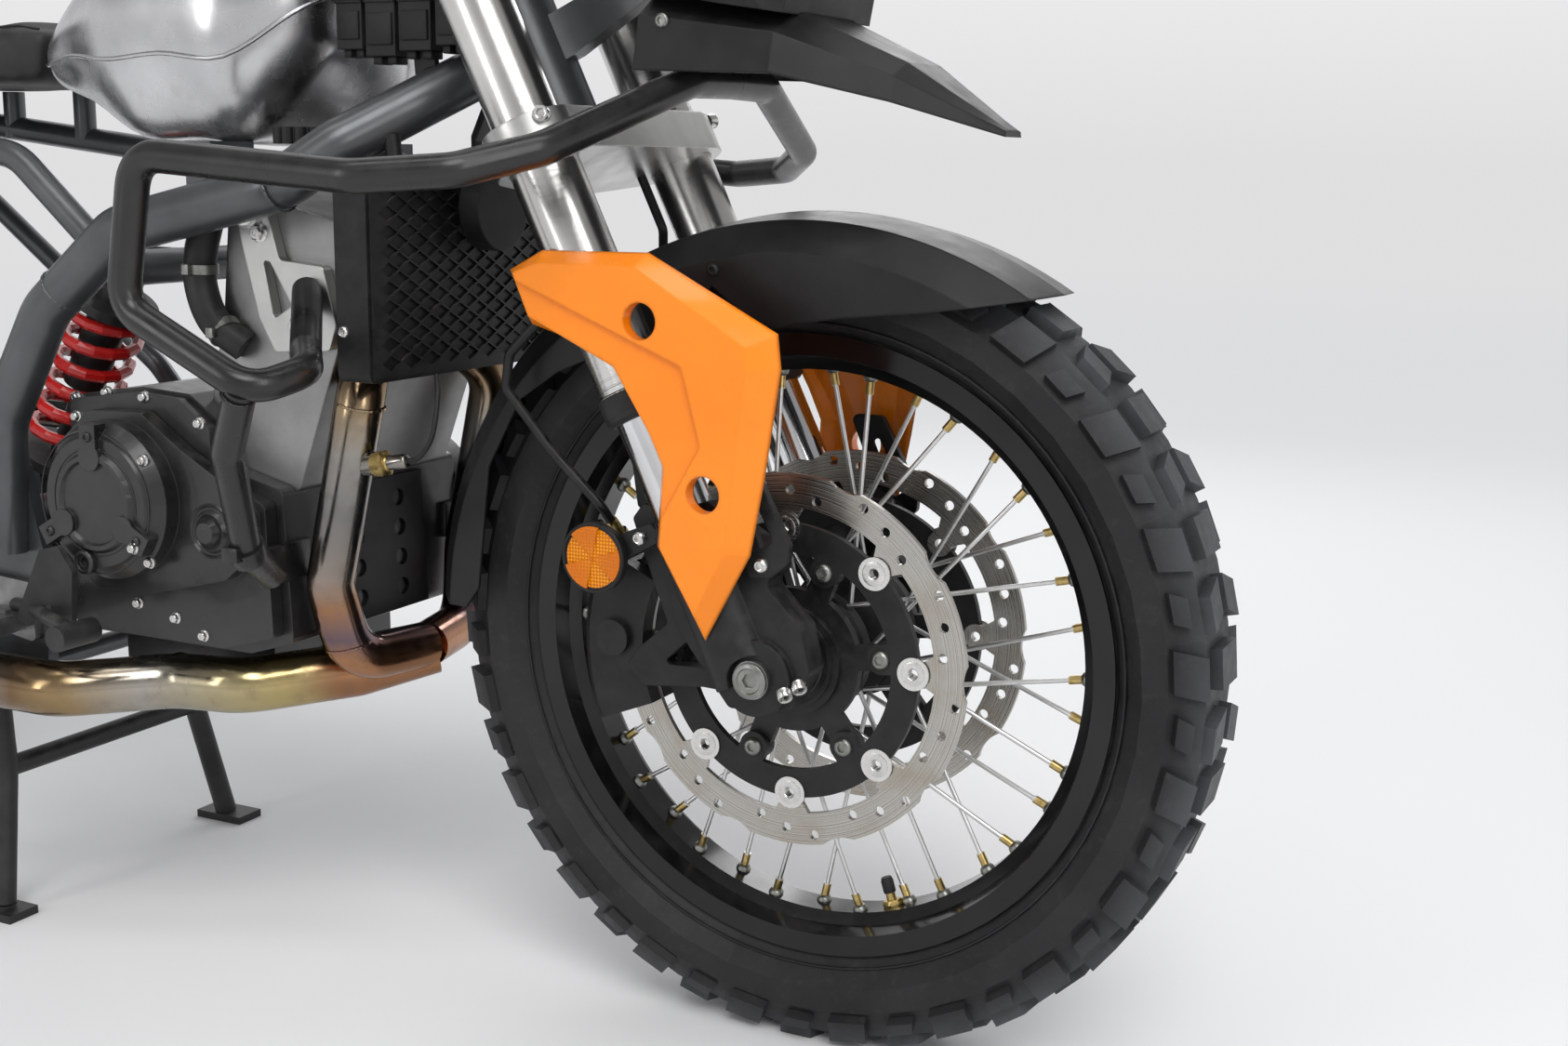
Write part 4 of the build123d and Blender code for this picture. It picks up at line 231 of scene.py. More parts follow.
def weld_bead(bm, place, axis, radius, size, scales):
    """Scaled bead of weld round a tube."""
    turn = turned(axis)
    loops = []
    steps = scales * 4
    for i in range(steps):
        angle = 2.0 * pi * i / steps
        swell = size * (0.70 + 0.30 * abs(sin(angle * scales / 2.0)))
        loop = []
        for k in range(8):
            around = 2.0 * pi * k / 8
            reach = radius + swell * cos(around) * 0.6
            point = Vector((reach * cos(angle), reach * sin(angle), swell * sin(around))) * MM
            loop.append(bm.verts.new(place + turn @ point))
        loops.append(loop)
    for low, high in zip(loops, loops[1:] + loops[:1]):
        skin(bm, low, high)


def box(bm, place, size, turn=Matrix.Identity(3), bevel=1.0):
    """Block with rounded edges; size and bevel in millimetres."""
    made = bmesh.ops.create_cube(bm, size=1.0)["verts"]
    for v in made:
        v.co = place + turn @ Vector([c * s * MM for c, s in zip(v.co, size)])
    edges = list(dict.fromkeys(edge for v in made for edge in v.link_edges))
    bmesh.ops.bevel(bm, geom=edges, offset=bevel * MM, segments=2, profile=0.5, affect="EDGES")


def make_piece(name, bm, body, finish, angle=32.0):
    """Object of a finish, from a mesh under construction, riding on a body."""
    bmesh.ops.recalc_face_normals(bm, faces=bm.faces)
    mesh = bpy.data.meshes.new(name)
    bm.to_mesh(mesh)
    bm.free()
    mesh.shade_smooth()
    mesh.set_sharp_from_angle(angle=radians(angle))
    mesh.materials.append(MATERIALS[finish])
    item = bpy.data.objects.new(name, mesh)
    SCENE.collection.objects.link(item)
    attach(item, body)
    return item


# Heads of fasteners: rings of (share of the radius, share of the height); a third value makes a ring six-sided
HEADS = {
    "cap": ((0, -0.3), (1, -0.3), (1, 0.82), (0.9, 1), (0.64, 1), (0.5, 0.95, 1), (0.5, 0.35, 1),
            (0, 0.3)),
    "button": ((0, -0.3), (1, -0.3), (1, 0.22), (0.94, 0.55), (0.78, 0.86), (0.60, 1),
               (0.44, 0.96, 1), (0.44, 0.45, 1), (0, 0.4)),
    "hex": ((0, -0.3), (1.4, -0.3), (1.4, 0.14), (1.2, 0.26), (0.95, 0.3, 1), (0.95, 0.86, 1),
            (0.8, 1), (0.4, 1), (0.34, 0.9), (0, 0.88)),
    "dome": ((0, -0.3), (1, -0.3), (1, 0.2), (0.9, 0.6), (0.65, 0.9), (0.35, 1), (0, 1.02)),
    "plug": ((0, -0.3), (1, -0.3), (1, 0.7), (0.92, 0.9), (0.72, 1), (0.66, 0.7), (0.42, 0.7),
             (0.36, 0.65, 1), (0.36, 0.1, 1), (0, 0.05)),
}


def hardware(name, body, finish, kind, radius, height, pairs):
    """One piece with a head at every place."""
    bm = bmesh.new()
    for place, axis in pairs:
        ringed(bm, place, axis, [(r * radius, h * height, *six) for r, h, *six in HEADS[kind]])
    return make_piece(name, bm, body, finish)


# Places of screws in the photograph, in its pixels
SEEN_CLAMP_BOLTS = ((573, 97), (583, 123))
SEEN_STAY_BOLTS = ((688.4, 578.5), (819, 608))
SEEN_PINCH_BOLTS = ((843, 746), (858.5, 737.5))
SEEN_COVER_SCREWS = (
    (82.5, 427), (115.4, 422), (155.3, 427), (83, 447.5), (214.5, 455.4), (154.4, 495), (161.7, 605),
    (149.4, 648.4), (189.6, 664.5), (219.8, 683.6), (144, 589.7),
)
SEEN_DRAIN_PLUG = ((94, 604),)
SEEN_RADIATOR_SCREW = ((370, 357),)
SEEN_TANK_BOLT = ((255, 15),)
SEEN_BEAK_SCREW = ((712, 22),)


def by_sight(pixels, nodes, axis=RIGHT):
    """Places on the nodes behind places of the photograph, each with the axis."""
    places = (seen(x, y, *nodes) for x, y in pixels)
    return [(place, axis) for place in places if place]


def dropped(places, nodes, axis=RIGHT):
    """Places in metres, dropped along the axis on the nodes, each with the axis."""
    met = (on_node(place, axis, *nodes) for place in places)
    return [(place, axis) for place in met if place]


def set_on(places, nodes, axis=RIGHT):
    """The same for places given in millimetres from the front axle."""
    return dropped([at(*place) for place in places], nodes, axis)


# Materials
class Nodes:
    """Short ways to add nodes to a tree and to link them."""

    def __init__(self, tree):
        self.tree = tree
        tree.nodes.clear()

    def add(self, kind, **values):
        node = self.tree.nodes.new(kind)
        for key, value in values.items():
            if key in node.inputs:
                node.inputs[key].default_value = value
            else:
                setattr(node, key, value)
        return node

    def link(self, source, output, target, socket):
        self.tree.links.new(source.outputs[output], target.inputs[socket])

    def ramp(self, source, output, stops):
        node = self.add("ShaderNodeValToRGB")
        elements = node.color_ramp.elements
        while len(elements) < len(stops):
            elements.new(0.5)
        for element, (place, color) in zip(elements, stops):
            element.position = place
            element.color = (*color, 1.0)
        self.link(source, output, node, "Fac")
        return node

    def background_rays(self):
        """One for rays that show the background: from the camera, off gloss and through glass."""
        path = self.add("ShaderNodeLightPath")
        total, output = path, "Is Camera Ray"
        for kind in ("Is Glossy Ray", "Is Transmission Ray"):
            most = self.add("ShaderNodeMath", operation="MAXIMUM")
            self.link(total, output, most, 0)
            self.link(path, kind, most, 1)
            total, output = most, 0
        return total

    def mixed(self, factor, first, second, target):
        """Blend of two shaders for the output's surface."""
        both = self.add("ShaderNodeMixShader")
        for index, source in enumerate((factor, first, second)):
            self.link(source, 0, both, index)
        self.link(both, 0, target, "Surface")


class Shader(Nodes):
    """A material with a principled surface, and ways to colour, wear and emboss it."""

    def __init__(self, name):
        self.material = bpy.data.materials.new(name)
        self.material.use_nodes = True
        super().__init__(self.material.node_tree)
        self.output = self.add("ShaderNodeOutputMaterial")
        self.surface = self.add("ShaderNodeBsdfPrincipled")
        self.link(self.surface, "BSDF", self.output, "Surface")
        self.place = self.add("ShaderNodeTexCoord")

    def put(self, **values):
        for key, value in values.items():
            self.surface.inputs[key.replace("_", " ")].default_value = value

    def noise(self, scale, detail=4.0, roughness=0.55, stretch=None):
        node = self.add("ShaderNodeTexNoise", Scale=scale, Detail=detail, Roughness=roughness)
        if stretch:
            mapping = self.add("ShaderNodeMapping", Scale=stretch)
            self.link(self.place, "Object", mapping, "Vector")
            self.link(mapping, "Vector", node, "Vector")
        else:
            self.link(self.place, "Object", node, "Vector")
        return node

    def mix(self, factor, first, second):
        """Blend of two colours; each input is a colour or a (node, output) pair."""
        node = self.add("ShaderNodeMix", data_type="RGBA")
        for index, value in ((0, factor), (6, first), (7, second)):
            if hasattr(value[0], "outputs"):
                self.link(*value, node, index)
            else:
                node.inputs[index].default_value = (*value, 1.0)
        return node, 2

    def span(self, source, output, low, high, to_low=0.0, to_high=1.0):
        """Value carried from one range to another."""
        ends = {"From Min": low, "From Max": high, "To Min": to_low, "To Max": to_high}
        node = self.add("ShaderNodeMapRange", **ends)
        self.link(source, output, node, "Value")
        return node

    def times(self, first, second):
        node = self.add("ShaderNodeMath", operation="MULTIPLY")
        self.link(*first, node, 0)
        self.link(*second, node, 1)
        return node

    def color(self, source, output):
        self.link(source, output, self.surface, "Base Color")

    def gloss(self, noise, low, high):
        """Roughness that follows a noise."""
        self.link(self.span(noise, "Fac", 0.3, 0.7, low, high), "Result", self.surface, "Roughness")

    def bump(self, source, output, strength, distance=0.001):
        node = self.add("ShaderNodeBump", Strength=strength, Distance=distance)
        self.link(source, output, node, "Height")
        previous = self.surface.inputs["Normal"].links
        if previous:
            self.tree.links.new(previous[0].from_socket, node.inputs["Normal"])
        self.link(node, "Normal", self.surface, "Normal")

    def radius_from(self, centre):
        """Distance of a point from a wheel's axis."""
        shift = self.add("ShaderNodeVectorMath", operation="SUBTRACT")
        shift.inputs[1].default_value = centre
        self.link(self.place, "Object", shift, 0)
        flat = self.add("ShaderNodeVectorMath", operation="MULTIPLY")
        flat.inputs[1].default_value = (1.0, 0.0, 1.0)
        self.link(shift, "Vector", flat, 0)
        length = self.add("ShaderNodeVectorMath", operation="LENGTH")
        self.link(flat, "Vector", length, 0)
        return length

    def coordinate(self, axis):
        split = self.add("ShaderNodeSeparateXYZ")
        self.link(self.place, "Object", split, "Vector")
        return split, axis

    def wandering(self, noise, reach, coordinate):
        """A coordinate moved by noise."""
        node = self.add("ShaderNodeMath", operation="MULTIPLY_ADD")
        self.link(noise, "Fac", node, 0)
        node.inputs[1].default_value = reach
        self.link(*coordinate, node, 2)
        return node


DUST = (0.20, 0.185, 0.165)

# Apparent radius of the edges, in millimetres
EDGE_MM = {"guard_orange": 4.0, "beak_black": 3.0, "fender_black": 3.0, "engine_black": 1.5, "engine_silver": 3.0,
           "clamp_silver": 2.0, "foot_black": 2.5, "plastic_black": 2.0, "swingarm_grey": 3.0}


def surface(name, low, high, rough, metal=0.0, scale=18.0, grain=0.15, grain_scale=900.0, spread=0.08, coat=0.0,
            dust=0.0, specular=0.5):
    """Procedural finish: two tones mixed by noise, uneven gloss, a fine grain and settled dust."""
    s = Shader(name)
    color = (s.ramp(s.noise(scale, detail=6.0), "Fac", ((0.3, low), (0.7, high))), "Color")
    wear = s.noise(scale * 2.7, detail=8.0)
    if dust:
        facing = s.add("ShaderNodeSeparateXYZ")
        s.link(s.add("ShaderNodeNewGeometry"), "Normal", facing, "Vector")
        upward = s.span(facing, "Z", 0.1, 1.0, 0.15, 1.0)
        patches = s.span(wear, "Fac", 0.42, 0.72, 0.0, dust)
        color = s.mix((s.times((upward, "Result"), (patches, "Result")), "Value"), color, DUST)
    s.color(*color)
    s.gloss(wear, max(rough - spread, 0.02), min(rough + spread, 1.0))
    s.put(Metallic=metal, Coat_Weight=coat, Specular_IOR_Level=specular)
    if coat:
        s.put(Coat_Roughness=0.10)
    if name in EDGE_MM:
        edge = s.add("ShaderNodeBevel", samples=4, Radius=EDGE_MM[name] * MM)
        s.link(edge, "Normal", s.surface, "Normal")
    if grain:
        s.bump(s.noise(grain_scale, detail=3.0), "Fac", grain, 0.0004)
    return s


RING_SCALE = 900.0


def ground_disc(name, centre, button_y):
    """Ground steel with rings left by the pads; buttons outside the rotor's face stay bright."""
    s = Shader(name)
    radius = s.radius_from(centre)
    rings = s.add("ShaderNodeTexNoise", noise_dimensions="1D", Detail=4.0, Scale=RING_SCALE)
    s.link(radius, "Value", rings, "W")
    patches = s.noise(26.0, detail=5.0)
    bright = s.ramp(rings, "Fac", ((0.30, (0.34, 0.325, 0.300)), (0.70, (0.54, 0.520, 0.488))))
    worn = s.span(patches, "Fac", 0.48, 0.72, 0.0, 0.55)
    color = s.mix((worn, "Result"), (bright, "Color"), (0.34, 0.28, 0.215))
    across = s.add("ShaderNodeMath", operation="ABSOLUTE")
    s.link(*s.coordinate("Y"), across, 0)
    button = s.span(across, "Value", button_y - 0.0002, button_y + 0.0002)
    color = s.mix((button, "Result"), color, (0.70, 0.69, 0.67))
    s.color(*color)
    s.gloss(rings, 0.20, 0.38)
    s.put(Metallic=1.0, Anisotropic=0.3)
    s.bump(rings, "Fac", 0.22, 0.0003)
    return s


def spoke_finish(name, centre, nipple_from):
    """Bright spokes that end in brass nipples."""
    s = Shader(name)
    radius = s.radius_from(centre)
    end = s.span(radius, "Value", nipple_from - 0.0004, nipple_from + 0.0004)
    stain = s.noise(220.0, detail=4.0)
    steel = s.ramp(stain, "Fac", ((0.3, (0.66, 0.66, 0.65)), (0.7, (0.76, 0.76, 0.75))))
    brass = s.ramp(stain, "Fac", ((0.3, (0.40, 0.28, 0.10)), (0.7, (0.62, 0.47, 0.20))))
    s.color(*s.mix((end, "Result"), (steel, "Color"), (brass, "Color")))
    s.gloss(stain, 0.30, 0.38)
    s.put(Metallic=1.0)
    return s


def heated_pipe():
    """Bare exhaust steel, coloured by heat from the ports down to the link pipe."""
    s = Shader("exhaust_steel")
    wander = s.noise(14.0, detail=5.0)
    down = s.span(s.wandering(wander, 0.045, s.coordinate("Z")), "Value", 0.272, 0.590)
    header = s.ramp(down, "Result", (
        (0.00, (0.30, 0.145, 0.075)), (0.10, (0.42, 0.205, 0.105)), (0.17, (0.16, 0.115, 0.135)),
        (0.27, (0.34, 0.180, 0.100)), (0.36, (0.30, 0.250, 0.215)), (0.52, (0.20, 0.195, 0.190)),
        (0.70, (0.30, 0.280, 0.255)), (0.82, (0.32, 0.240, 0.150)), (0.93, (0.22, 0.145, 0.085)),
        (1.00, (0.13, 0.090, 0.065))))
    ahead = s.coordinate("X")
    along = s.span(s.wandering(wander, 0.05, ahead), "Value", -0.30, 0.31)
    link_pipe = s.ramp(along, "Result", (
        (0.00, (0.30, 0.30, 0.30)), (0.46, (0.34, 0.33, 0.31)), (0.58, (0.20, 0.125, 0.070)),
        (0.66, (0.34, 0.240, 0.125)), (0.74, (0.40, 0.375, 0.335)), (0.86, (0.44, 0.375, 0.225)),
        (0.95, (0.46, 0.365, 0.165)), (1.00, (0.32, 0.200, 0.110))))
    behind = s.span(*ahead, 0.285, 0.262)
    color = s.mix((behind, "Result"), (header, "Color"), (link_pipe, "Color"))
    soot = s.noise(60.0, detail=8.0)
    s.color(*s.mix((s.span(soot, "Fac", 0.5, 0.8, 0.0, 0.35), "Result"), color, (0.16, 0.13, 0.11)))
    s.gloss(soot, 0.12, 0.30)
    s.put(Metallic=1.0)
    s.bump(soot, "Fac", 0.05, 0.0005)
    return s


def pressed_metal():
    """Bare tank sheet, with shallow dents, a soft sheen and handling marks."""
    s = Shader("tank_metal")
    smear = s.noise(9.0, detail=6.0, stretch=(1.0, 1.6, 0.7))
    color = s.ramp(smear, "Fac", ((0.3, (0.46, 0.46, 0.47)), (0.7, (0.66, 0.66, 0.67))))
    stain = s.noise(38.0, detail=8.0)
    s.color(*s.mix((s.span(stain, "Fac", 0.60, 0.80, 0.0, 0.25), "Result"), (color, "Color"), (0.46, 0.41, 0.34)))
    s.gloss(stain, 0.20, 0.32)
    s.put(Metallic=1.0)
    s.bump(s.noise(6.0, detail=1.0), "Fac", 0.40, 0.008)
    s.bump(s.noise(700.0, detail=2.0, stretch=(1.0, 1.0, 0.15)), "Fac", 0.05, 0.0004)
    return s


def tube_machined(name, low, high, rough, line_scale, strength):
    """Bright tube with fine lines round the fork legs."""
    s = Shader(name)
    along = s.add("ShaderNodeVectorMath", operation="DOT_PRODUCT")
    along.inputs[1].default_value = UP_FORK
    s.link(s.place, "Object", along, 0)
    lines = s.add("ShaderNodeTexNoise", noise_dimensions="1D", Scale=line_scale, Detail=3.0)
    s.link(along, "Value", lines, "W")
    smear = s.noise(11.0, detail=5.0)
    s.color(s.ramp(smear, "Fac", ((0.3, low), (0.7, high))), "Color")
    s.gloss(lines, rough - 0.05, rough + 0.06)
    s.put(Metallic=1.0)
    s.bump(lines, "Fac", strength, 0.0003)
    return s


def faceted_lens(name, low, high):
    """Coloured lens with small prisms behind the face."""
    s = Shader(name)
    cells = s.add("ShaderNodeTexVoronoi", Scale=360.0, Randomness=0.0, feature="F1")
    s.link(s.place, "Object", cells, "Vector")
    s.color(s.ramp(cells, "Distance", ((0.10, high), (0.45, low))), "Color")
    s.put(Roughness=0.16, Specular_IOR_Level=0.3)
    s.bump(cells, "Distance", 0.9, 0.0012)
    return s


def glass(name, tint, roughness):
    s = Shader(name)
    haze = s.noise(40.0, detail=3.0)
    s.gloss(haze, roughness, roughness + 0.05)
    s.color(s.ramp(haze, "Fac", ((0.3, tint), (0.7, tuple(min(c * 1.05, 1.0) for c in tint)))), "Color")
    s.put(Transmission_Weight=0.92, IOR=1.30)
    return s


def rubber_tyre(name, centre, shoulder):
    """Tyre rubber: dark sidewalls, tread blocks lighter from a grey bloom and from painted light, and a fine moulded
    grain.
    """
    s = Shader(name)
    bloom = s.noise(13.0, detail=7.0)
    wall = s.ramp(bloom, "Fac", ((0.30, (0.007, 0.007, 0.008)), (0.70, (0.018, 0.018, 0.019))))
    # Tread blocks painted lighter than the sidewalls: partly grey bloom, partly painted light where the blocks face
    # the lamps.
    block_bloom_and_painted_light = s.ramp(bloom, "Fac", ((0.30, (0.032, 0.034, 0.037)), (0.70, (0.070, 0.074, 0.080))))
    tread = s.span(s.radius_from(centre), "Value", shoulder - 0.012, shoulder + 0.014)
    color = s.mix((tread, "Result"), (wall, "Color"), (block_bloom_and_painted_light, "Color"))
    scuff = s.noise(85.0, detail=8.0, roughness=0.7)
    s.color(*s.mix((s.span(scuff, "Fac", 0.54, 0.80, 0.0, 0.30), "Result"), color, (0.085, 0.082, 0.078)))
    s.gloss(scuff, 0.46, 0.66)
    s.put(Specular_IOR_Level=0.35)
    s.bump(s.noise(1100.0, detail=3.0), "Fac", 0.35, 0.0005)
    s.bump(scuff, "Fac", 0.25, 0.0008)
    return s


GLOSSY = ("spring_red", "screen_dark", "engine_black", "crash_bar_black")


def cool(level):
    """Grey with a little blue."""
    return (level, level, level * 1.05)


def tone(level):
    return level if isinstance(level, tuple) else (level, level, level)


def make_materials():
    # Columns: name, low and high tone as a grey level or a colour, roughness, metal, scale of the tones,
    # grain and its scale, spread of the gloss, coat, dust
    table = (
        ("rim_black", 0.003, (0.008, 0.008, 0.009), 0.16, 0.0, 12, 0.02, 400, 0.05, 0.15, 0.08),
        ("hub_black", cool(0.006), cool(0.015), 0.42, 0.0, 30, 0.25, 1200, 0.10, 0.0, 0.35),
        ("carrier_black", cool(0.006), cool(0.015), 0.46, 0.0, 40, 0.15, 1500, 0.08, 0.0, 0.2),
        ("sprocket_steel", 0.22, 0.42, 0.38, 1.0, 30, 0.10, 900, 0.10, 0.0, 0.0),
        ("chain_steel", (0.10, 0.085, 0.06), (0.32, 0.29, 0.24), 0.42, 1.0, 60, 0.10, 900, 0.12, 0.0, 0.0),
        ("clamp_silver", (0.48, 0.48, 0.47), (0.62, 0.62, 0.60), 0.34, 1.0, 16, 0.20, 1400, 0.06, 0.0, 0.0),
        ("foot_black", cool(0.006), cool(0.016), 0.44, 0.0, 35, 0.35, 1300, 0.08, 0.0, 0.25),
        ("axle_steel", 0.30, (0.48, 0.48, 0.47), 0.34, 1.0, 40, 0.10, 900, 0.10, 0.0, 0.0),
        ("caliper_black", cool(0.005), cool(0.013), 0.42, 0.0, 30, 0.25, 1400, 0.10, 0.0, 0.3),
        ("bar_black", (0.008, 0.008, 0.009), (0.018, 0.018, 0.020), 0.36, 0.0, 20, 0.10, 1200, 0.08, 0.0, 0.2),
        ("control_black", cool(0.006), cool(0.014), 0.50, 0.0, 25, 0.20, 1500, 0.10, 0.0, 0.2),
        ("grip_rubber", 0.010, 0.024, 0.80, 0.0, 40, 0.50, 500, 0.08, 0.0, 0.2),
        ("hose_rubber", 0.010, 0.024, 0.50, 0.0, 40, 0.15, 900, 0.08, 0.0, 0.2),
        ("frame_grey", (0.078, 0.082, 0.086), (0.118, 0.123, 0.128), 0.34, 0.6, 14, 0.10, 1500, 0.06, 0.1, 0.15),
        ("swingarm_grey", (0.078, 0.082, 0.086), (0.118, 0.123, 0.128), 0.36, 0.6, 14, 0.10, 1500, 0.07, 0.1, 0.2),
        ("shock_black", (0.010, 0.010, 0.011), 0.030, 0.35, 0.0, 30, 0.10, 900, 0.10, 0.0, 0.2),
        ("spring_red", (0.42, 0.006, 0.006), (0.62, 0.012, 0.010), 0.26, 0.0, 20, 0.05, 600, 0.08, 0.4, 0.1),
        ("plastic_black", cool(0.005), cool(0.013), 0.48, 0.0, 20, 0.30, 1800, 0.08, 0.0, 0.3),
        ("engine_black", 0.008, cool(0.020), 0.34, 0.0, 26, 0.30, 1200, 0.08, 0.25, 0.22),
        ("engine_silver", 0.25, (0.36, 0.36, 0.355), 0.42, 1.0, 18, 0.40, 1100, 0.06, 0.0, 0.25),
        ("silencer_steel", 0.36, (0.52, 0.52, 0.51), 0.32, 1.0, 14, 0.20, 900, 0.08, 0.0, 0.0),
        ("beak_black", cool(0.005), cool(0.013), 0.42, 0.0, 18, 0.40, 2200, 0.06, 0.0, 0.06),
        ("fender_black", cool(0.004), cool(0.011), 0.36, 0.0, 18, 0.40, 2200, 0.06, 0.0, 0.04),
        ("crash_bar_black", 0.006, 0.014, 0.30, 0.0, 16, 0.10, 1600, 0.06, 0.1, 0.10),
        ("guard_black", cool(0.005), cool(0.013), 0.46, 0.0, 24, 0.20, 1200, 0.08, 0.0, 0.3),
        ("peg_steel", 0.18, 0.34, 0.42, 1.0, 30, 0.20, 900, 0.10, 0.0, 0.3),
        ("lever_black", 0.012, 0.030, 0.40, 0.0, 24, 0.20, 1200, 0.08, 0.0, 0.25),
        ("stand_black", 0.012, 0.026, 0.42, 0.0, 18, 0.20, 1300, 0.08, 0.0, 0.3),
        ("guard_orange", (0.96, 0.235, 0.002), (1.00, 0.265, 0.003), 0.28, 0.0, 10, 0.04, 700, 0.04, 0.40, 0.0),
        ("radiator_black", 0.006, 0.014, 0.46, 0.0, 30, 0.20, 900, 0.08, 0.0, 0.3),
        ("seat_vinyl", 0.014, 0.030, 0.56, 0.0, 24, 0.55, 620, 0.07, 0.0, 0.15),
        ("zinc", (0.56, 0.56, 0.55), (0.74, 0.73, 0.71), 0.26, 1.0, 90, 0.10, 900, 0.08, 0.0, 0.0),
        ("dull_bolt", (0.20, 0.205, 0.19), (0.34, 0.345, 0.32), 0.40, 1.0, 90, 0.10, 900, 0.10, 0.0, 0.0),
        ("brass", (0.42, 0.30, 0.11), (0.62, 0.47, 0.20), 0.30, 1.0, 90, 0.10, 900, 0.08, 0.0, 0.0),
        ("mirror_glass", (0.78, 0.79, 0.80), (0.84, 0.85, 0.86), 0.03, 1.0, 10, 0.00, 900, 0.01, 0.0, 0.0),
        ("screen_dark", (0.010, 0.012, 0.014), (0.018, 0.020, 0.024), 0.08, 0.0, 20, 0.02, 900, 0.03, 0.8, 0.1),
        ("plate_white", (0.66, 0.66, 0.64), (0.74, 0.74, 0.72), 0.34, 0.0, 14, 0.10, 900, 0.06, 0.2, 0.1),
    )
    made = {}
    for name, low, high, rough, metal, scale, grain, grain_scale, spread, coat, dust in table:
        specular = 0.5 if metal or name in GLOSSY else 0.32
        made[name] = surface(
            name, tone(low), tone(high), rough, metal, scale, grain, grain_scale, spread, coat, dust, specular)
    made["exhaust_steel"] = heated_pipe()
    made["tank_metal"] = pressed_metal()
    made["tyre"] = rubber_tyre("tyre", AXLE, 0.318)
    made["rear_tyre"] = rubber_tyre("rear_tyre", REAR_AXLE, 0.307)
    made["disc_steel"] = ground_disc("disc_steel", AXLE, 0.0689)
    made["rear_disc_steel"] = ground_disc("rear_disc_steel", REAR_AXLE, 0.2)
    made["spoke_steel"] = spoke_finish("spoke_steel", AXLE, 0.2112)
    made["rear_spoke_steel"] = spoke_finish("rear_spoke_steel", REAR_AXLE, 0.1878)
    made["fork_polished"] = tube_machined("fork_polished", (0.60, 0.59, 0.57), (0.76, 0.75, 0.73), 0.20, 1600.0, 0.16)
    made["fork_chrome"] = tube_machined("fork_chrome", (0.66, 0.66, 0.67), (0.76, 0.76, 0.77), 0.10, 900.0, 0.03)
    made["reflector_amber"] = faceted_lens("reflector_amber", (0.62, 0.150, 0.0), (1.0, 0.450, 0.005))
    made["lamp_red"] = faceted_lens("lamp_red", (0.36, 0.006, 0.006), (0.62, 0.016, 0.014))
    made["lamp_clear"] = glass("lamp_clear", (0.88, 0.90, 0.92), 0.04)
    made["screen_clear"] = glass("screen_clear", (0.80, 0.83, 0.85), 0.05)
    return {name: shader.material for name, shader in made.items()}


# Finishes that differ from the slot's own
NODE_FINISH = {"rear_disc": "rear_disc_steel", "rear_tyre": "rear_tyre", "rear_spokes": "rear_spoke_steel",
               "fork_reflectors": "plastic_black"}


def dress_nodes():
    slot_of = {entry["node"]: entry["material_slot"] for entry in frame["record"]["subparts"]}
    for name, node in NODES.items():
        node.data.materials.clear()
        node.data.materials.append(MATERIALS[NODE_FINISH.get(name, slot_of[name])])


# Stage
HORIZON_LEVEL = 0.74
FLOOR_HALF = 40.0
FADE_FROM, FADE_TO = 3.0, 12.0

# Height on the sky's dome and its tone: pale at the horizon, darker overhead, so that metal has something to show
SKY = ((0.0, HORIZON_LEVEL), (0.12, 0.86), (0.45, 0.34), (1.0, 0.20))


def sky_tone(level):
    return (level, level, level * 1.01)


def make_floor():
    """Pale floor that takes the horizon's tone with its distance from the motorcycle."""
    corners = [(x * FLOOR_HALF, y * FLOOR_HALF, 0) for x, y in ((-1, -1), (1, -1), (1, 1), (-1, 1))]
    mesh = bpy.data.meshes.new("floor")
    mesh.from_pydata(corners, [], [(0, 1, 2, 3)])
    floor = bpy.data.objects.new("floor", mesh)
    SCENE.collection.objects.link(floor)
    s = Shader("floor")
    s.put(Base_Color=(0.78, 0.78, 0.78, 1.0), Roughness=0.9, Specular_IOR_Level=0.2)
    reach = s.add("ShaderNodeVectorMath", operation="LENGTH")
    s.link(s.place, "Object", reach, 0)
    fade = s.span(reach, "Value", FADE_FROM, FADE_TO)
    fade.interpolation_type = "SMOOTHSTEP"
    far = s.add("ShaderNodeEmission", Color=(*sky_tone(HORIZON_LEVEL), 1.0))
    share = s.times((fade, "Result"), (s.background_rays(), 0))
    s.mixed(share, s.surface, far, s.output)
    mesh.materials.append(s.material)


def make_world():
    """Even light for the object, and a graded sky for the camera and for reflections."""
    world = bpy.data.worlds.new("world")
    SCENE.world = world
    world.use_nodes = True
    w = Nodes(world.node_tree)
    light = w.add("ShaderNodeBackground", Color=(0.95, 0.97, 1.0, 1.0), Strength=0.56)
    sky = w.add("ShaderNodeBackground")
    split = w.add("ShaderNodeSeparateXYZ")
    w.link(w.add("ShaderNodeTexCoord"), "Generated", split, 0)
    w.link(w.ramp(split, "Z", [(height, sky_tone(level)) for height, level in SKY]), "Color", sky, "Color")
    w.mixed(w.background_rays(), light, sky, w.add("ShaderNodeOutputWorld"))


def hang_lamp(name, data, shine):
    lamp = bpy.data.objects.new(name, data)
    lamp.rotation_euler = shine.to_track_quat("-Z", "Y").to_euler()
    SCENE.collection.objects.link(lamp)
    return lamp


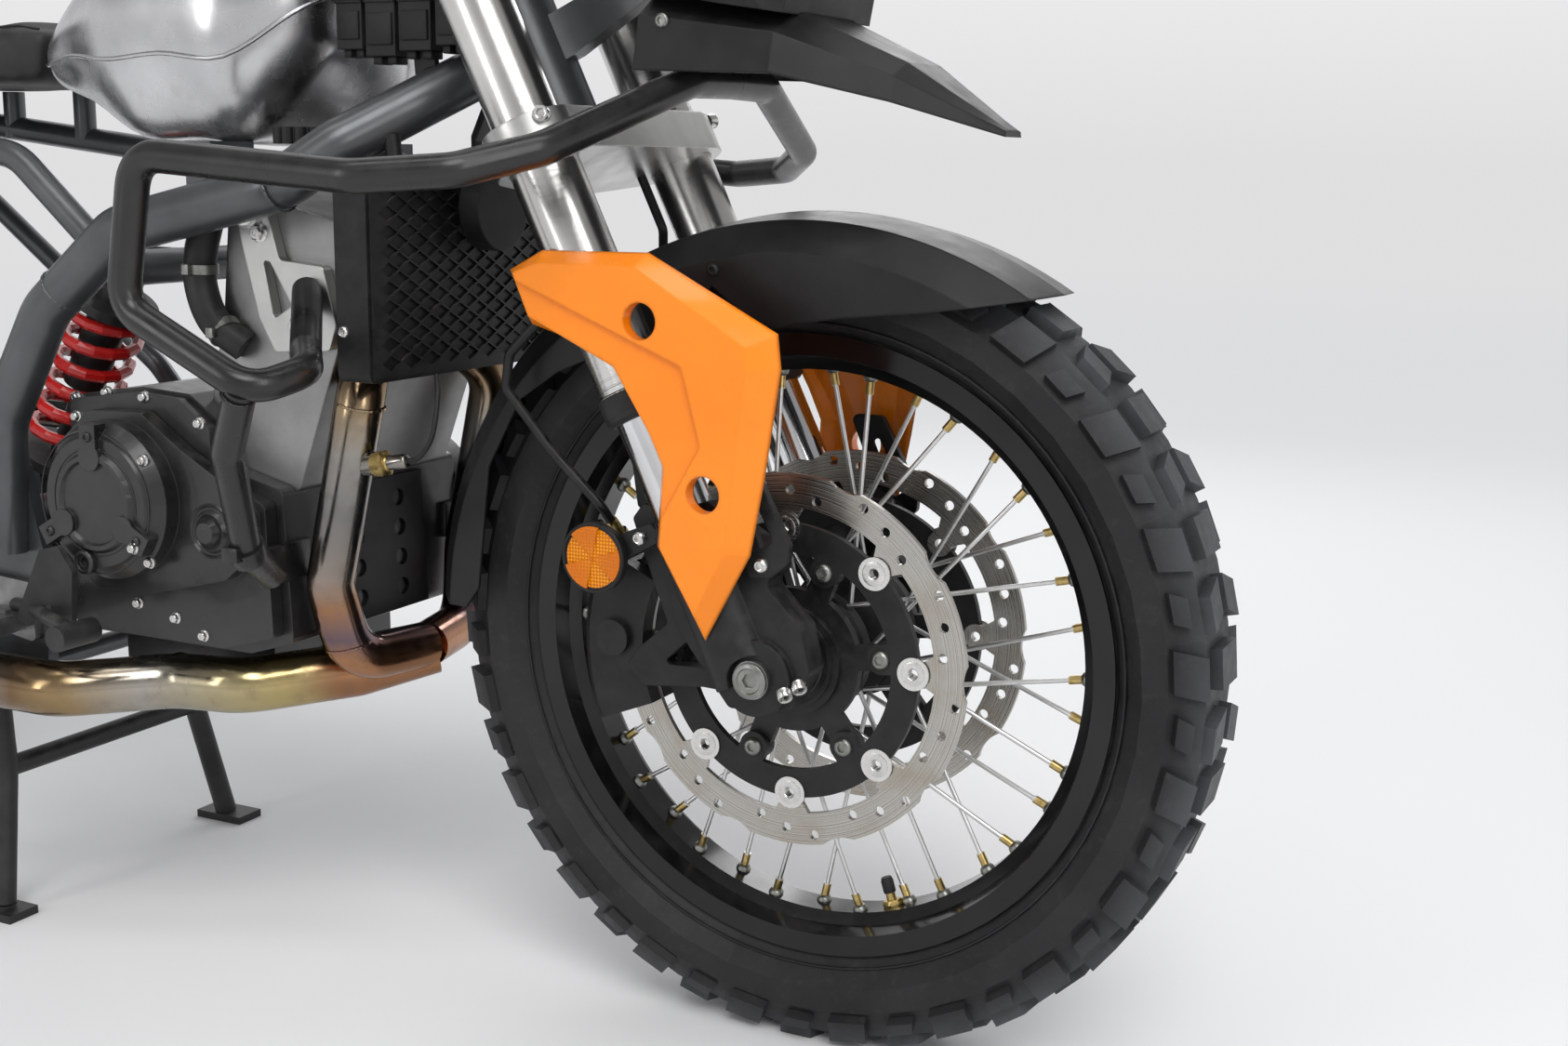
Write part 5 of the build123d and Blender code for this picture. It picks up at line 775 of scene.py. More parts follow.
def make_lights():
    """Soft panels round the motorcycle and two wide suns."""
    # Columns: name, place, target, width, height, power
    panels = (
        ("panel_top", (0.5, -0.6, 2.8), (0.3, 0.0, 0.5), 2.6, 0.5, 14.0),
        ("panel_front", (2.6, -1.4, 1.7), (0.5, 0.0, 0.5), 0.6, 1.8, 14.0),
        ("panel_side", (-0.9, -2.9, 1.5), (0.0, 0.0, 0.5), 0.5, 1.6, 12.0),
        ("panel_back", (-0.2, 2.8, 1.9), (0.0, 0.0, 0.5), 1.8, 0.5, 12.0),
    )
    for name, where, target, width, height, power in panels:
        data = bpy.data.lights.new(name, "AREA")
        data.shape = "RECTANGLE"
        data.size = width
        data.size_y = height
        data.energy = power
        hang_lamp(name, data, Vector(target) - Vector(where)).location = where
    # Columns: name, direction towards the light, strength, width of the light as seen, in degrees
    suns = (("sun_main", (0.45, -0.75, 1.0), 1.15, 30.0), ("sun_back", (-0.5, 0.8, 0.9), 0.45, 50.0))
    for name, toward, strength, width in suns:
        data = bpy.data.lights.new(name, "SUN")
        data.energy = strength
        data.angle = radians(width)
        hang_lamp(name, data, -Vector(toward))


# Wheels
SPOKES = 36


def hubward(angle):
    """Direction from a place on the rim to the axle."""
    return Vector((-cos(angle), 0.0, -sin(angle)))


def wheel_points(centre, radius, y, count, phase):
    """Places on a circle about a wheel's axis, angles from +X to +Z."""
    for angle in turns(count, phase):
        yield centre + Vector((radius * cos(angle), y, radius * sin(angle))) * MM


def dress_wheel(prefix, centre, well_r, rim_half, valve_deg):
    """Nipple seats on the rim well and a valve with its cap."""
    bm = bmesh.new()
    for i, angle in enumerate(turns(SPOKES)):
        side = 1 if i % 2 else -1
        place = centre - hubward(angle) * (well_r * MM) + LEFT * (side * rim_half * 0.2 * MM)
        seat = ((0, -1), (6.4, -1), (6.2, 1.2), (4.9, 3.6), (3.5, 4.4), (0, 4.4))
        ringed(bm, place, hubward(angle), seat, 14)
    make_piece(prefix + "_nipple_seats", bm, prefix + "_wheel", "dull_bolt")
    inward = hubward(radians(valve_deg))
    foot = centre - inward * (well_r * MM)
    bm = bmesh.new()
    ringed(bm, foot, inward, ((0, -1), (7.5, -1), (7.5, 1.6, 1), (6.5, 4.6, 1), (4.0, 4.6), (4.0, 12), (0, 12)))
    make_piece(prefix + "_valve_stem", bm, prefix + "_wheel", "brass")
    bm = bmesh.new()
    ringed(bm, foot, inward, ((0, 11), (5.0, 11), (5.2, 13), (5.2, 21), (4.2, 24), (0, 24.4)))
    make_piece(prefix + "_valve_cap", bm, prefix + "_wheel", "control_black")


# Distances from the wheel's middle to the faces of the ring carriers, buttons and hub ends
CARRIER_Y = 69.0
BUTTON_Y = 70.8
HUB_END_Y = 69.3


def dress_front_wheel():
    """Bolts of the ring carriers, bright edges of the floating buttons, and dust covers on the hub."""
    dress_wheel("front", AXLE, 225.0, 32.0, -73.0)
    for side in (-1, 1):
        name = "left" if side > 0 else "right"
        axis = LEFT * side
        bolts = [(place, axis) for place in wheel_points(AXLE, 80.0, side * CARRIER_Y, 6, 8.0)]
        hardware("carrier_bolts_" + name, "front_wheel", "dull_bolt", "button", 7.6, 4.2, bolts)
        bm = bmesh.new()
        for place in wheel_points(AXLE, 107.0, side * BUTTON_Y, 8, 2.0):
            ringed(bm, place, axis, ((9.6, -0.4), (9.6, 0.55), (8.9, 0.75), (4.7, 0.75), (4.2, 0.2), (4.2, -0.4)),
                   24, closed=True)
        make_piece("rotor_button_rings_" + name, bm, "front_wheel", "zinc")
    bm = bmesh.new()
    cover = ((23.6, 0), (31.0, 0), (31.0, 1.6), (29.4, 2.6), (23.6, 2.6))
    for side in (-1, 1):
        for rings in (cover, band(35.0, 38.5, 0, 1.4)):
            ringed(bm, at(0, side * HUB_END_Y, 0), LEFT * side, rings, 40, closed=True)
    make_piece("front_hub_covers", bm, "front_wheel", "hub_black")


def dress_rear_wheel():
    """Bolts of the brake ring and nuts of the chain sprocket."""
    dress_wheel("rear", REAR_AXLE, 201.7, 52.0, -60.0)
    hardware("rear_disc_bolts", "rear_wheel", "dull_bolt", "button", 6.5, 4.0,
             dropped(wheel_points(REAR_AXLE, 58.0, -120.0, 6, 20.0), ("rear_disc", "rear_hub")))
    hardware("rear_sprocket_nuts", "rear_wheel", "zinc", "hex", 6.5, 6.0,
             dropped(wheel_points(REAR_AXLE, 52.0, 130.0, 6, 0.0), ("rear_sprocket", "rear_hub"), LEFT))


# Section of a raised line: share of its width, height over the wall in millimetres
TYRE_LINE = ((0, -1.0), (1, -1.0), (0.8, 0.7), (0.2, 0.7))


# Columns of the lines: radius, distance inside the tyre's half width, width
def dress_tyre(name, body, centre, wall_y, lines):
    """Raised rings on both sidewalls, for the fitting line and the scuff guard."""
    bm = bmesh.new()
    for side in (-1, 1):
        axis = LEFT * side
        for radius, inset, width in lines:
            rings = [(radius + width * share, height) for share, height in TYRE_LINE]
            ringed(bm, centre + axis * ((wall_y - inset) * MM), axis, rings, 96, closed=True)
    make_piece(name, bm, body, "tyre" if body == "front_wheel" else "rear_tyre")


# Fork
REFLECTOR_R = 25.6
SECTORS = 6
SECTOR_STEPS = 8


def dress_reflectors():
    """Round side reflectors: a rim, and six sectors of prisms at two heights with ribs between them."""
    rim = bmesh.new()
    lens = bmesh.new()
    for side in (-1, 1):
        axis = LEFT * side
        place = at(-148, side * 119.0, 77)
        turn = turned(axis)
        ringed(rim, place, axis, ((25.4, -1.0), (28.4, -6.0), (28.6, 0.4), (27.8, 1.4), (26.0, 1.4), (25.4, 0.2)),
               48, closed=True)

        def on_lens(angle, height, radius=REFLECTOR_R):
            return place + turn @ Vector((radius * cos(angle), radius * sin(angle), height)) * MM

        for sector, first in enumerate(turns(SECTORS, 18.0)):
            height = 1.95 if sector % 2 else -0.05
            angles = [first + 2.0 * pi / SECTORS * k / SECTOR_STEPS for k in range(SECTOR_STEPS + 1)]
            middle = lens.verts.new(on_lens(0.0, 0.9, 0.0))
            arc = [lens.verts.new(on_lens(angle, height)) for angle in angles]
            foot = [lens.verts.new(on_lens(angle, -0.4)) for angle in angles]
            for k in range(SECTOR_STEPS):
                lens.faces.new((middle, arc[k], arc[k + 1]))
                lens.faces.new((arc[k], foot[k], foot[k + 1], arc[k + 1]))
        for angle in turns(SECTORS, 18.0):
            pipe(lens, [on_lens(0.0, 0.9, 0.0), on_lens(angle, 0.9)], 0.5, sides=6, steps=1)
    make_piece("reflector_rims", rim, "steering", "control_black")
    make_piece("reflector_lenses", lens, "steering", "reflector_amber", angle=8.0)


def dress_fork():
    """Wipers and rings on the fork tubes, and the screws of clamps, stays, axle and guards."""
    bm = bmesh.new()
    for side in (-1, 1):
        ringed(bm, fork_at(0, side * FORK_HALF, 221.0), UP_FORK, (
            (24.6, -3), (27.0, -3), (30.9, 0), (31.0, 3), (30.7, 4), (31.2, 5), (31.2, 18),
            (30.0, 21), (28.2, 21), (28.2, 2), (24.6, 2)), 40, closed=True)
    make_piece("fork_wipers", bm, "steering", "hose_rubber")
    bm = bmesh.new()
    line = ((28.0, 0), (28.6, 0.4), (28.6, 1.4), (28.0, 1.8))
    for side in (-1, 1):
        for along in (246.0, 252.0):
            ringed(bm, fork_at(0, side * FORK_HALF, along), UP_FORK, line, 40, closed=True)
    make_piece("fork_tube_rings", bm, "steering", "fork_polished")
    forward_out = (AHEAD_FORK * 0.35 + RIGHT).normalized()
    clamp = by_sight(SEEN_CLAMP_BOLTS, ("fork_clamps",), forward_out)
    hardware("clamp_bolts", "steering", "zinc", "cap", 6.6, 6.5, mirrored(clamp))
    stays = by_sight(SEEN_STAY_BOLTS, ("fork_feet", "fork_guards", "front_calipers"))
    hardware("stay_bolts", "steering", "zinc", "button", 6.2, 5.0, mirrored(stays))
    pinch_axis = Vector((0.55, -0.55, -0.62)).normalized()
    pinch = by_sight(SEEN_PINCH_BOLTS, ("fork_feet",), pinch_axis)
    hardware("pinch_bolts", "steering", "zinc", "cap", 6.0, 5.5, mirrored(pinch))
    hardware("axle_ends", "steering", "dull_bolt", "plug", 14.2, 4.5, mirrored([(at(0, -133.0, 0), RIGHT)]))
    hardware("guard_screws", "steering", "zinc", "button", 5.0, 3.0,
             mirrored([(at(-36, -148.4, 64), LEFT), (at(-62, -148.4, 102), LEFT)]))


def dress_brake_lines():
    """Clip and end fitting on each front brake hose."""
    clips = bmesh.new()
    metal = bmesh.new()
    down = Vector((-28.0, -6.0, -30.0)).normalized()
    outward = Vector((0.0, -23.0, 22.0)).normalized()
    fitting = ((0, -14), (5.6, -14), (6.4, -12, 1), (6.4, -4, 1), (5.2, -3), (5.2, 12), (4.4, 14), (4.0, 14))
    for side in (-1, 1):
        flip = flip_to(side)
        ringed(clips, at(-208, -96, 262) * flip, down * flip, band(4.0, 5.4, 0, 5), 16, closed=True)
        ringed(metal, at(-153, -74, 92) * flip, outward * flip, fitting, 18)
    make_piece("brake_hose_clips", clips, "steering", "control_black")
    make_piece("brake_hose_ends", metal, "steering", "brass")


# Engine
COOLANT_R = 14.0
COOLANT_HOSE = ((-536, -112, 336), (-543, -117, 300), (-541, -119, 272), (-528, -118, 244), (-505, -108, 224))


def clutch_at(radius, angle, y):
    """Place about the crank cover's axis, in millimetres from the front axle."""
    return -619.0 + radius * cos(angle), y, 88.0 + radius * sin(angle)


def dress_engine():
    """Screws of the covers, the lines cast on them and the coolant hose with its clamps."""
    covers = ("engine_covers", "engine_case", "engine_guards")
    hardware("cover_screws", "chassis", "zinc", "hex", 3.9, 5.0, by_sight(SEEN_COVER_SCREWS, covers))
    lugs = [clutch_at(58.0, a, -150) for a in turns(3, 90.0)]
    hardware("clutch_cover_screws", "chassis", "engine_black", "button", 4.6, 2.6, set_on(lugs, covers))
    hardware("drain_plug", "chassis", "engine_black", "plug", 11.0, 6.0, by_sight(SEEN_DRAIN_PLUG, covers))
    around = [clutch_at(70.0, a, 120) for a in turns(8, 20.0)]
    hardware("left_cover_screws", "chassis", "zinc", "hex", 3.9, 5.0, set_on(around, covers, LEFT))
    bm = bmesh.new()
    for radius in (46.6, 62.0):
        line = ((radius, -0.6), (radius + 1.6, -0.6), (radius + 1.1, 0.5), (radius + 0.4, 0.5))
        ringed(bm, at(*clutch_at(0.0, 0.0, -178.2)), RIGHT, line, 72, closed=True)
    make_piece("clutch_cover_lines", bm, "chassis", "engine_black")
    bm = bmesh.new()
    pipe(bm, [at(*p) for p in COOLANT_HOSE], COOLANT_R, sides=18, steps=8)
    make_piece("coolant_hose", bm, "chassis", "hose_rubber")
    bm = bmesh.new()
    for place, toward in ((at(-542, -118, 290), (0.05, 0.0, 1.0)), (at(-521, -115, 237), (-0.72, 0.2, 0.66))):
        ringed(bm, place, Vector(toward).normalized(), band(COOLANT_R, COOLANT_R + 1.2, -4, 4), 32, closed=True)
        box(bm, place + RIGHT * 0.017, (8.0, 6.0, 9.0))
    make_piece("hose_clamps", bm, "chassis", "dull_bolt")


# Exhaust
HEADER_R = 21.0
LINK_R = 25.0
# Columns: place, axis, radius of the pipe
EXHAUST_WELDS = (
    ((-391, -97, 180), (-0.2, 0.0, -1.0), HEADER_R),
    ((-421, -86, -34), (0.1, 0.2, -1.0), HEADER_R),
    ((-590, -120, -82), (-1.0, 0.0, 0.0), LINK_R),
    ((-470, -58, -74), (-0.68, -0.72, -0.1), LINK_R),
)
# Shares of the silencer's length where its bands sit, and their radius
BANDS = (0.20, 0.87)
BAND_R = 55.4
SENSOR_AXIS = Vector((36.0, -1.0, 6.0)).normalized()
SENSOR_LEAD = ((-344, -100, 136), (-330, -100, 140), (-318, -97, 158), (-318, -88, 190), (-326, -78, 207))
HEADER_PATH = ((-410, -58, 226), (-390, -98, 188), (-428, -100, 20), (-420, -84, -50), (-402, 0, -52))
LINK_PATH = ((-402, 10, -56), (-450, -40, -72), (-520, -112, -80), (-590, -120, -82), (-672, -184, -86),
             (-850, -190, -84), (-905, -195, 10), (-955, -196, 66), (-1000, -200, 90))


def dress_exhaust():
    """Smooth pipes over the same lines, with the sensor's boss, welds and the silencer's bands."""
    bm = bmesh.new()
    for side in (-1, 1):
        pipe(bm, bent_path([(x, -side * y, z) for x, y, z in HEADER_PATH], 46.0), HEADER_R, sides=28, steps=1)
    pipe(bm, bent_path(LINK_PATH, 60.0), LINK_R, sides=28, steps=1)
    ringed(bm, at(-404, -99, 126), SENSOR_AXIS,
           ((0, 0), (9.5, 0), (9.5, 36), (6.2, 37), (6.2, 62), (5.0, 64), (0, 64)))
    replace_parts(make_piece("exhaust_pipes", bm, "chassis", "exhaust_steel", angle=60.0), "exhaust_header")
    bm = bmesh.new()
    for place, axis, radius in EXHAUST_WELDS:
        weld_bead(bm, at(*place), Vector(axis).normalized(), radius, 1.5, 30)
    make_piece("exhaust_welds", bm, "chassis", "exhaust_steel")
    bm = bmesh.new()
    ringed(bm, at(-372, -100, 131.4), SENSOR_AXIS,
           ((0, -2), (10.6, -2), (10.6, 8, 1), (9.0, 9, 1), (7.4, 10), (7.4, 12), (6.6, 13), (0, 13)))
    make_piece("sensor_nut", bm, "chassis", "brass")
    bm = bmesh.new()
    pipe(bm, [at(*p) for p in SENSOR_LEAD], 2.4, sides=8)
    make_piece("sensor_lead", bm, "chassis", "hose_rubber")
    bm = bmesh.new()
    low, high = at(-1000, -200, 90), at(-1440, -214, 300)
    along = (high - low).normalized()
    for share in BANDS:
        ringed(bm, low.lerp(high, share), along, band(BAND_R - 1.4, BAND_R, -7, 7), 56, closed=True)
    make_piece("silencer_bands", bm, "chassis", "clamp_silver")
    outward = [turned(along) @ Vector((cos(a), sin(a), 0.0)) for a in turns(8)]
    hardware("silencer_rivets", "chassis", "zinc", "dome", 3.0, 1.6,
             [(low.lerp(high, share) + out * (BAND_R * MM), out) for share in BANDS for out in outward])


# Frame
BAR_R = 12.7
HOOP_PATH = ((-91, 0, 447), (-92, -62, 446), (-128, -212, 394), (-170, -262, 378), (-236, -292, 373),
             (-438, -292, 387), (-458, -292, 272), (-342, -286, 214), (-326, -240, 226), (-376, -182, 234),
             (-428, -116, 276))
LEG_PATH = ((-352, -284, 216), (-392, -258, 160), (-424, -206, 70), (-440, -160, 40))


def dress_crash_bars():
    """Smooth tubes over the same lines as the solid bars."""
    bm = bmesh.new()
    for path in (HOOP_PATH, LEG_PATH):
        for side in (-1, 1):
            pipe(bm, bent_path([(x, -side * y, z) for x, y, z in path], 30.0), BAR_R, sides=24, steps=1)
    for side in (-1, 1):
        box(bm, at(-454, side * 127, 43), (8.0, 60.0, 34.0), bevel=1.5)
    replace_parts(make_piece("crash_bar_tubes", bm, "chassis", "crash_bar_black", angle=60.0), "crash_bars")


def dress_frame():
    """Welds, clamps of the crash bars, and the bolts of hangers, radiator, pivot and rear axle."""
    bm = bmesh.new()
    for side in (-1, 1):
        flip = flip_to(side)
        weld_bead(bm, at(-668, -152.8, 268) * flip, Vector((-0.78, 0.0, -0.62)), 21.0, 2.0, 26)
        weld_bead(bm, at(-424, -150, 362) * flip, Vector((-0.9, 0.0, -0.25)).normalized(), 21.0, 1.8, 26)
    make_piece("frame_welds", bm, "chassis", "frame_grey")
    bm = bmesh.new()
    for side in (-1, 1):
        flip = flip_to(side)
        weld_bead(bm, at(-356, -283, 210) * flip, Vector((-0.5, 0.32, -0.75)).normalized(), 12.9, 1.8, 18)
        ringed(bm, at(-424, -206, 70) * flip, Vector((-0.2, 0.55, -0.8)).normalized() * flip,
               ((BAR_R, -8), (15.4, -8), (15.8, -5), (15.8, 5), (15.4, 8), (BAR_R, 8)), 28, closed=True)
        box(bm, at(-424, -223, 70) * flip, (16.0, 8.0, 12.0))
    make_piece("crash_bar_joints", bm, "chassis", "crash_bar_black")
    hardware("hanger_bolts", "chassis", "zinc", "plug", 13.0, 4.0, mirrored([(at(-486, -124, 341), RIGHT)]))
    hardware("hanger_screws", "chassis", "zinc", "hex", 6.0, 6.5,
             mirrored(set_on(((-440, -105, 246), (-478, -105, 322)), ("engine_hangers",))))
    hardware("radiator_screws", "chassis", "zinc", "button", 5.0, 3.6,
             mirrored(by_sight(SEEN_RADIATOR_SCREW, ("radiator", "radiator_guard"))))
    hardware("pivot_nuts", "chassis", "dull_bolt", "plug", 15.0, 8.0,
             mirrored(set_on(((-775, -150, 45),), ("main_frame", "swingarm", "footpegs"))))
    hardware("rear_axle_nuts", "chassis", "zinc", "hex", 13.0, 2.0, mirrored([(at(-1425, -149.0, 1), RIGHT)]))


# Tank
FILLER_X = -560.0
# Columns: station along X, lower height, upper height, half widths below, at the middle and on top
TANK_STATIONS = (
    (-437, 512, 556, 22, 40, 22), (-440, 498, 566, 36, 54, 36), (-452, 464, 587, 72, 92, 56),
    (-500, 400, 609, 104, 125, 74), (-565, 399, 620, 112, 131, 80), (-628, 400, 605, 108, 127, 74),
    (-700, 429, 559, 84, 99, 60), (-745, 444, 506, 74, 82, 60), (-751, 454, 494, 62, 68, 48),
)


def dress_tank():
    """Smooth pressed tank with its seam flange, the filler's ring and screws."""
    stations = smooth_path([Vector(row[:3]) for row in TANK_STATIONS], 5)
    halves = smooth_path([Vector(row[3:]) for row in TANK_STATIONS], 5)
    bm = bmesh.new()
    flange = bmesh.new()
    loops = []
    rim_line = []
    for (x, low, high), (half_low, half_mid, half_top) in zip(stations, halves):
        tall = high - low
        right = (
            (half_low * 0.55, low), (half_low * 0.92, low + 0.04 * tall), (half_mid, low + 0.32 * tall),
            (half_mid * 0.985, low + 0.62 * tall), (half_top * 1.08, low + 0.90 * tall), (half_top * 0.45, high),
        )
        ring = [Vector((x, y, z)) for y, z in right] + [Vector((x, -y, z)) for y, z in reversed(right)]
        ring = [ring[-1], *ring, ring[0], ring[1]]
        line = []
        for a, b, c, d in zip(ring, ring[1:], ring[2:], ring[3:]):
            line += [bm.verts.new(at(*spline(a, b, c, d, i / 4))) for i in range(4)]
        loops.append(line)
        rim_line.append(Vector((x, half_mid + 0.4, low + 0.32 * tall)))
    for low, high in zip(loops, loops[1:]):
        skin(bm, low, high)
    for loop in (loops[0], loops[-1]):
        skin(bm, loop, [bm.verts.new(sum((v.co for v in loop), Vector()) / len(loop))])
    for side in (-1, 1):
        pipe(flange, [at(p.x, side * p.y, p.z) for p in rim_line], 2.0, sides=8, steps=1)
    ringed(bm, at(FILLER_X, 0, 612), UP,
           ((0, 0), (44, 2), (38, 8), (36, 12), (36, 18), (33.5, 20), (32, 20), (32, 22), (0, 22)), 48)
    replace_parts(make_piece("tank_shell", bm, "chassis", "tank_metal", angle=50.0), "fuel_tank")
    make_piece("tank_flange", flange, "chassis", "tank_metal", angle=60.0)
    bm = bmesh.new()
    ringed(bm, at(FILLER_X, 0, 634), UP, ((33.0, -4), (35.4, -4), (35.4, -1), (34.2, 0), (33.0, 0)), 48, closed=True)
    ringed(bm, at(FILLER_X, 0, 630), UP, band(26.0, 28.0, 3, 3.9), 48, closed=True)
    make_piece("filler_ring", bm, "chassis", "zinc")
    hardware("filler_screws", "chassis", "dull_bolt", "button", 2.6, 1.2,
             [(at(FILLER_X + 20.0 * cos(a), 20.0 * sin(a), 634), UP) for a in turns(6)])
    hardware("tank_bolts", "chassis", "dull_bolt", "button", 5.5, 3.5,
             mirrored(by_sight(SEEN_TANK_BOLT, ("fuel_tank",))))


# Controls, lamps and tail
BAR_HALF = 435.0
RIB_STEP = 6.2
MIRROR_HALF_WIDTH, MIRROR_HALF_HEIGHT = 69.0, 38.0


def leaning(degrees):
    """Turn of a plate that faces back and leans; across it is its X and up it is its Y."""
    lean = radians(degrees)
    return Matrix((LEFT, Vector((sin(lean), 0.0, cos(lean))), Vector((-cos(lean), 0.0, sin(lean))))).transposed()


def dress_controls():
    """Ribs on the grips, bar clamp screws, mirror glasses, and the instrument's screen and keys."""
    middle = fork_at(-18, 0, 716)
    end = middle + Vector((-78.0, -BAR_HALF, 78.0)) * MM
    bend = middle + Vector((-4.0, -168.0, 62.0)) * MM
    along = (bend - end).normalized()
    bm = bmesh.new()
    for i in range(18):
        for side in (-1, 1):
            flip = flip_to(side)
            ringed(bm, (end + along * ((10.0 + RIB_STEP * i) * MM)) * flip, along * flip,
                   ((16.8, -1.4), (17.9, -1.2), (17.9, 1.2), (16.8, 1.4)), 24, closed=True)
    make_piece("grip_ribs", bm, "steering", "grip_rubber")
    clamps = [fork_at(-18 + ahead, side * 50, 716) for ahead in (-16, 16) for side in (-1, 1)]
    hardware("bar_clamp_screws", "steering", "zinc", "cap", 4.6, 5.0, dropped(clamps, ("fork_clamps",), UP_FORK))
    hardware("stem_nut", "steering", "dull_bolt", "plug", 15.0, 6.0,
             dropped([fork_at(-30, 0, 670)], ("fork_clamps",), UP_FORK))
    back = Vector((-1.0, 0.0, 0.1)).normalized()
    lift = LEFT.cross(back).normalized()
    head = end + along * (184.0 * MM) + Vector((46.0, -82.0, 198.2)) * MM + back * (9.2 * MM)
    bm = bmesh.new()
    for side in (-1, 1):
        rows = []
        for share, rise in ((1.0, -0.4), (0.97, 0.5), (0.0, 0.5)):
            ring = []
            for a in turns(48) if share else turns(1):
                x = copysign(abs(cos(a)) ** 0.5, cos(a)) * MIRROR_HALF_WIDTH * share
                z = copysign(abs(sin(a)) ** 0.5, sin(a)) * MIRROR_HALF_HEIGHT * share
                ring.append(bm.verts.new(head * flip_to(side) + (LEFT * x + lift * z + back * rise) * MM))
            rows.append(ring)
        for low, high in zip(rows, rows[1:]):
            skin(bm, low, high)
    make_piece("mirror_glasses", bm, "steering", "mirror_glass")
    turn = leaning(35.0)
    dash = at(-190, 0, 712)
    bm = bmesh.new()
    box(bm, dash + turn @ Vector((0, 4.0, 13.2)) * MM, (122, 66, 1.6), turn, 0.6)
    make_piece("dash_screen", bm, "chassis", "screen_dark")
    bm = bmesh.new()
    for x in (-34.0, 34.0):
        box(bm, dash + turn @ Vector((x, -38.0, 13.4)) * MM, (22, 8, 3), turn, 1.2)
    make_piece("dash_keys", bm, "chassis", "control_black")


def dress_lamps():
    """Projectors in the headlamp, cells in the tail lamp, and the plate with its screws."""
    ahead = Vector((1.0, 0.0, 0.0))
    bm = bmesh.new()
    for y in (-30.0, 30.0):
        spot = on_node(at(-20, y, 590), ahead, "headlamp")
        ringed(bm, spot, ahead, ((0, -10), (20, -10), (20, 0.4), (18.6, 0.6), (16, -2.5), (0, -5.0)), 40)
    make_piece("lamp_projectors", bm, "chassis", "mirror_glass")
    bm = bmesh.new()
    for k in range(7):
        box(bm, at(-1597.2, -45.0 + 15.0 * k, 498), (2.0, 11.0, 18.0), bevel=0.8)
    make_piece("tail_lamp_cells", bm, "chassis", "lamp_red")
    turn = leaning(21.2)
    back, _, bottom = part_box("plate_bracket")[0]
    centre = Vector((back, 0.0, bottom)) + turn @ Vector((0.0, 70.0, 0.2)) * MM
    bm = bmesh.new()
    box(bm, centre, (192.0, 132.0, 1.4), turn, 0.6)
    make_piece("plate_face", bm, "chassis", "plate_white")
    hardware("plate_screws", "chassis", "zinc", "dome", 4.0, 2.0,
             [(centre + turn @ Vector((x, 50.0, 0.6)) * MM, turn @ UP) for x in (-70.0, 70.0)])


# Columns: middle along X, height of the lower end, height of the box, width along X
RELAYS = ((-413.0, 474.0, 46.0, 26.0), (-381.0, 468.0, 52.0, 30.0), (-346.0, 472.0, 48.0, 32.0),
          (-312.0, 476.0, 44.0, 26.0))


def dress_body_work():
    """Screws on the beak, fender and tail, and the covers of the relays."""
    hardware("beak_screws", "chassis", "dull_bolt", "button", 6.0, 3.0,
             mirrored(by_sight(SEEN_BEAK_SCREW, ("beak", "front_cowl"))))
    hardware("fender_screws", "steering", "control_black", "button", 5.0, 3.0,
             mirrored(set_on(((-96, -80, 268), (-64, -80, 304)), ("front_fender",))))
    hardware("tail_screws", "chassis", "dull_bolt", "button", 5.0, 3.0,
             mirrored(set_on(((-1120, -100, 450), (-1300, -100, 462), (-1480, -80, 480)), ("tail_fairing",))))
    bm = bmesh.new()
    for x, low, tall, wide in RELAYS:
        box(bm, at(x, -70.6, low + tall * 0.42), (wide - 5.0, 2.4, tall * 0.50), bevel=0.8)
        box(bm, at(x, -70.2, low + tall - 7.0), (wide + 1.6, 3.4, 4.0), bevel=0.8)
        for k in (-1, 1):
            box(bm, at(x + k * wide * 0.25, -57, low - 3.0), (wide * 0.30, 16.0, 7.0), bevel=1.0)
    make_piece("relay_covers", bm, "chassis", "plastic_black")


# Seat
VOXEL = 0.006
CLOTH_STEPS = 20
MOST_SWELL = 0.006
SEAM_STATIONS = (-0.171, -0.231, -0.291, -0.351)
SEAM_HALF = 0.112
WELT_FROM, WELT_LENGTH = -0.051, 0.55


def apply_modifier(item, name, kind, **values):
    modifier = item.modifiers.new(name, kind)
    for key, value in values.items():
        setattr(modifier, key, value)
    bpy.ops.object.modifier_apply(modifier=name)


def swell(cushion):
    """The cover blown up a little by a cloth simulation."""
    cloth = cushion.modifiers.new("cloth", "CLOTH")
    cloth.settings.use_pressure = True
    cloth.settings.uniform_pressure_force = 4.0
    cloth.settings.effector_weights.gravity = 0.0
    cloth.settings.quality = 5
    for step in range(1, CLOTH_STEPS + 1):
        SCENE.frame_set(step)
    bpy.ops.object.modifier_apply(modifier="cloth")
    SCENE.frame_set(1)


def seam(bm, cover, places, radius):
    """Cord laid on the cover below the given places."""
    line = []
    for x, y in places:
        hit = cover.ray_cast(Vector((x, y, 1.2)), -UP)[0]
        if hit:
            line.append(hit + UP * 0.0004)
    pipe(bm, line, radius, sides=6, steps=1)


def welt_place(share, side):
    """Place above the welt, which narrows towards the tank."""
    x = WELT_FROM - WELT_LENGTH * share
    wider = min(max((-0.021 - x) / 0.2, 0.0), 1.0)
    return x, side * 0.74 * (0.070 + 0.064 * wider)


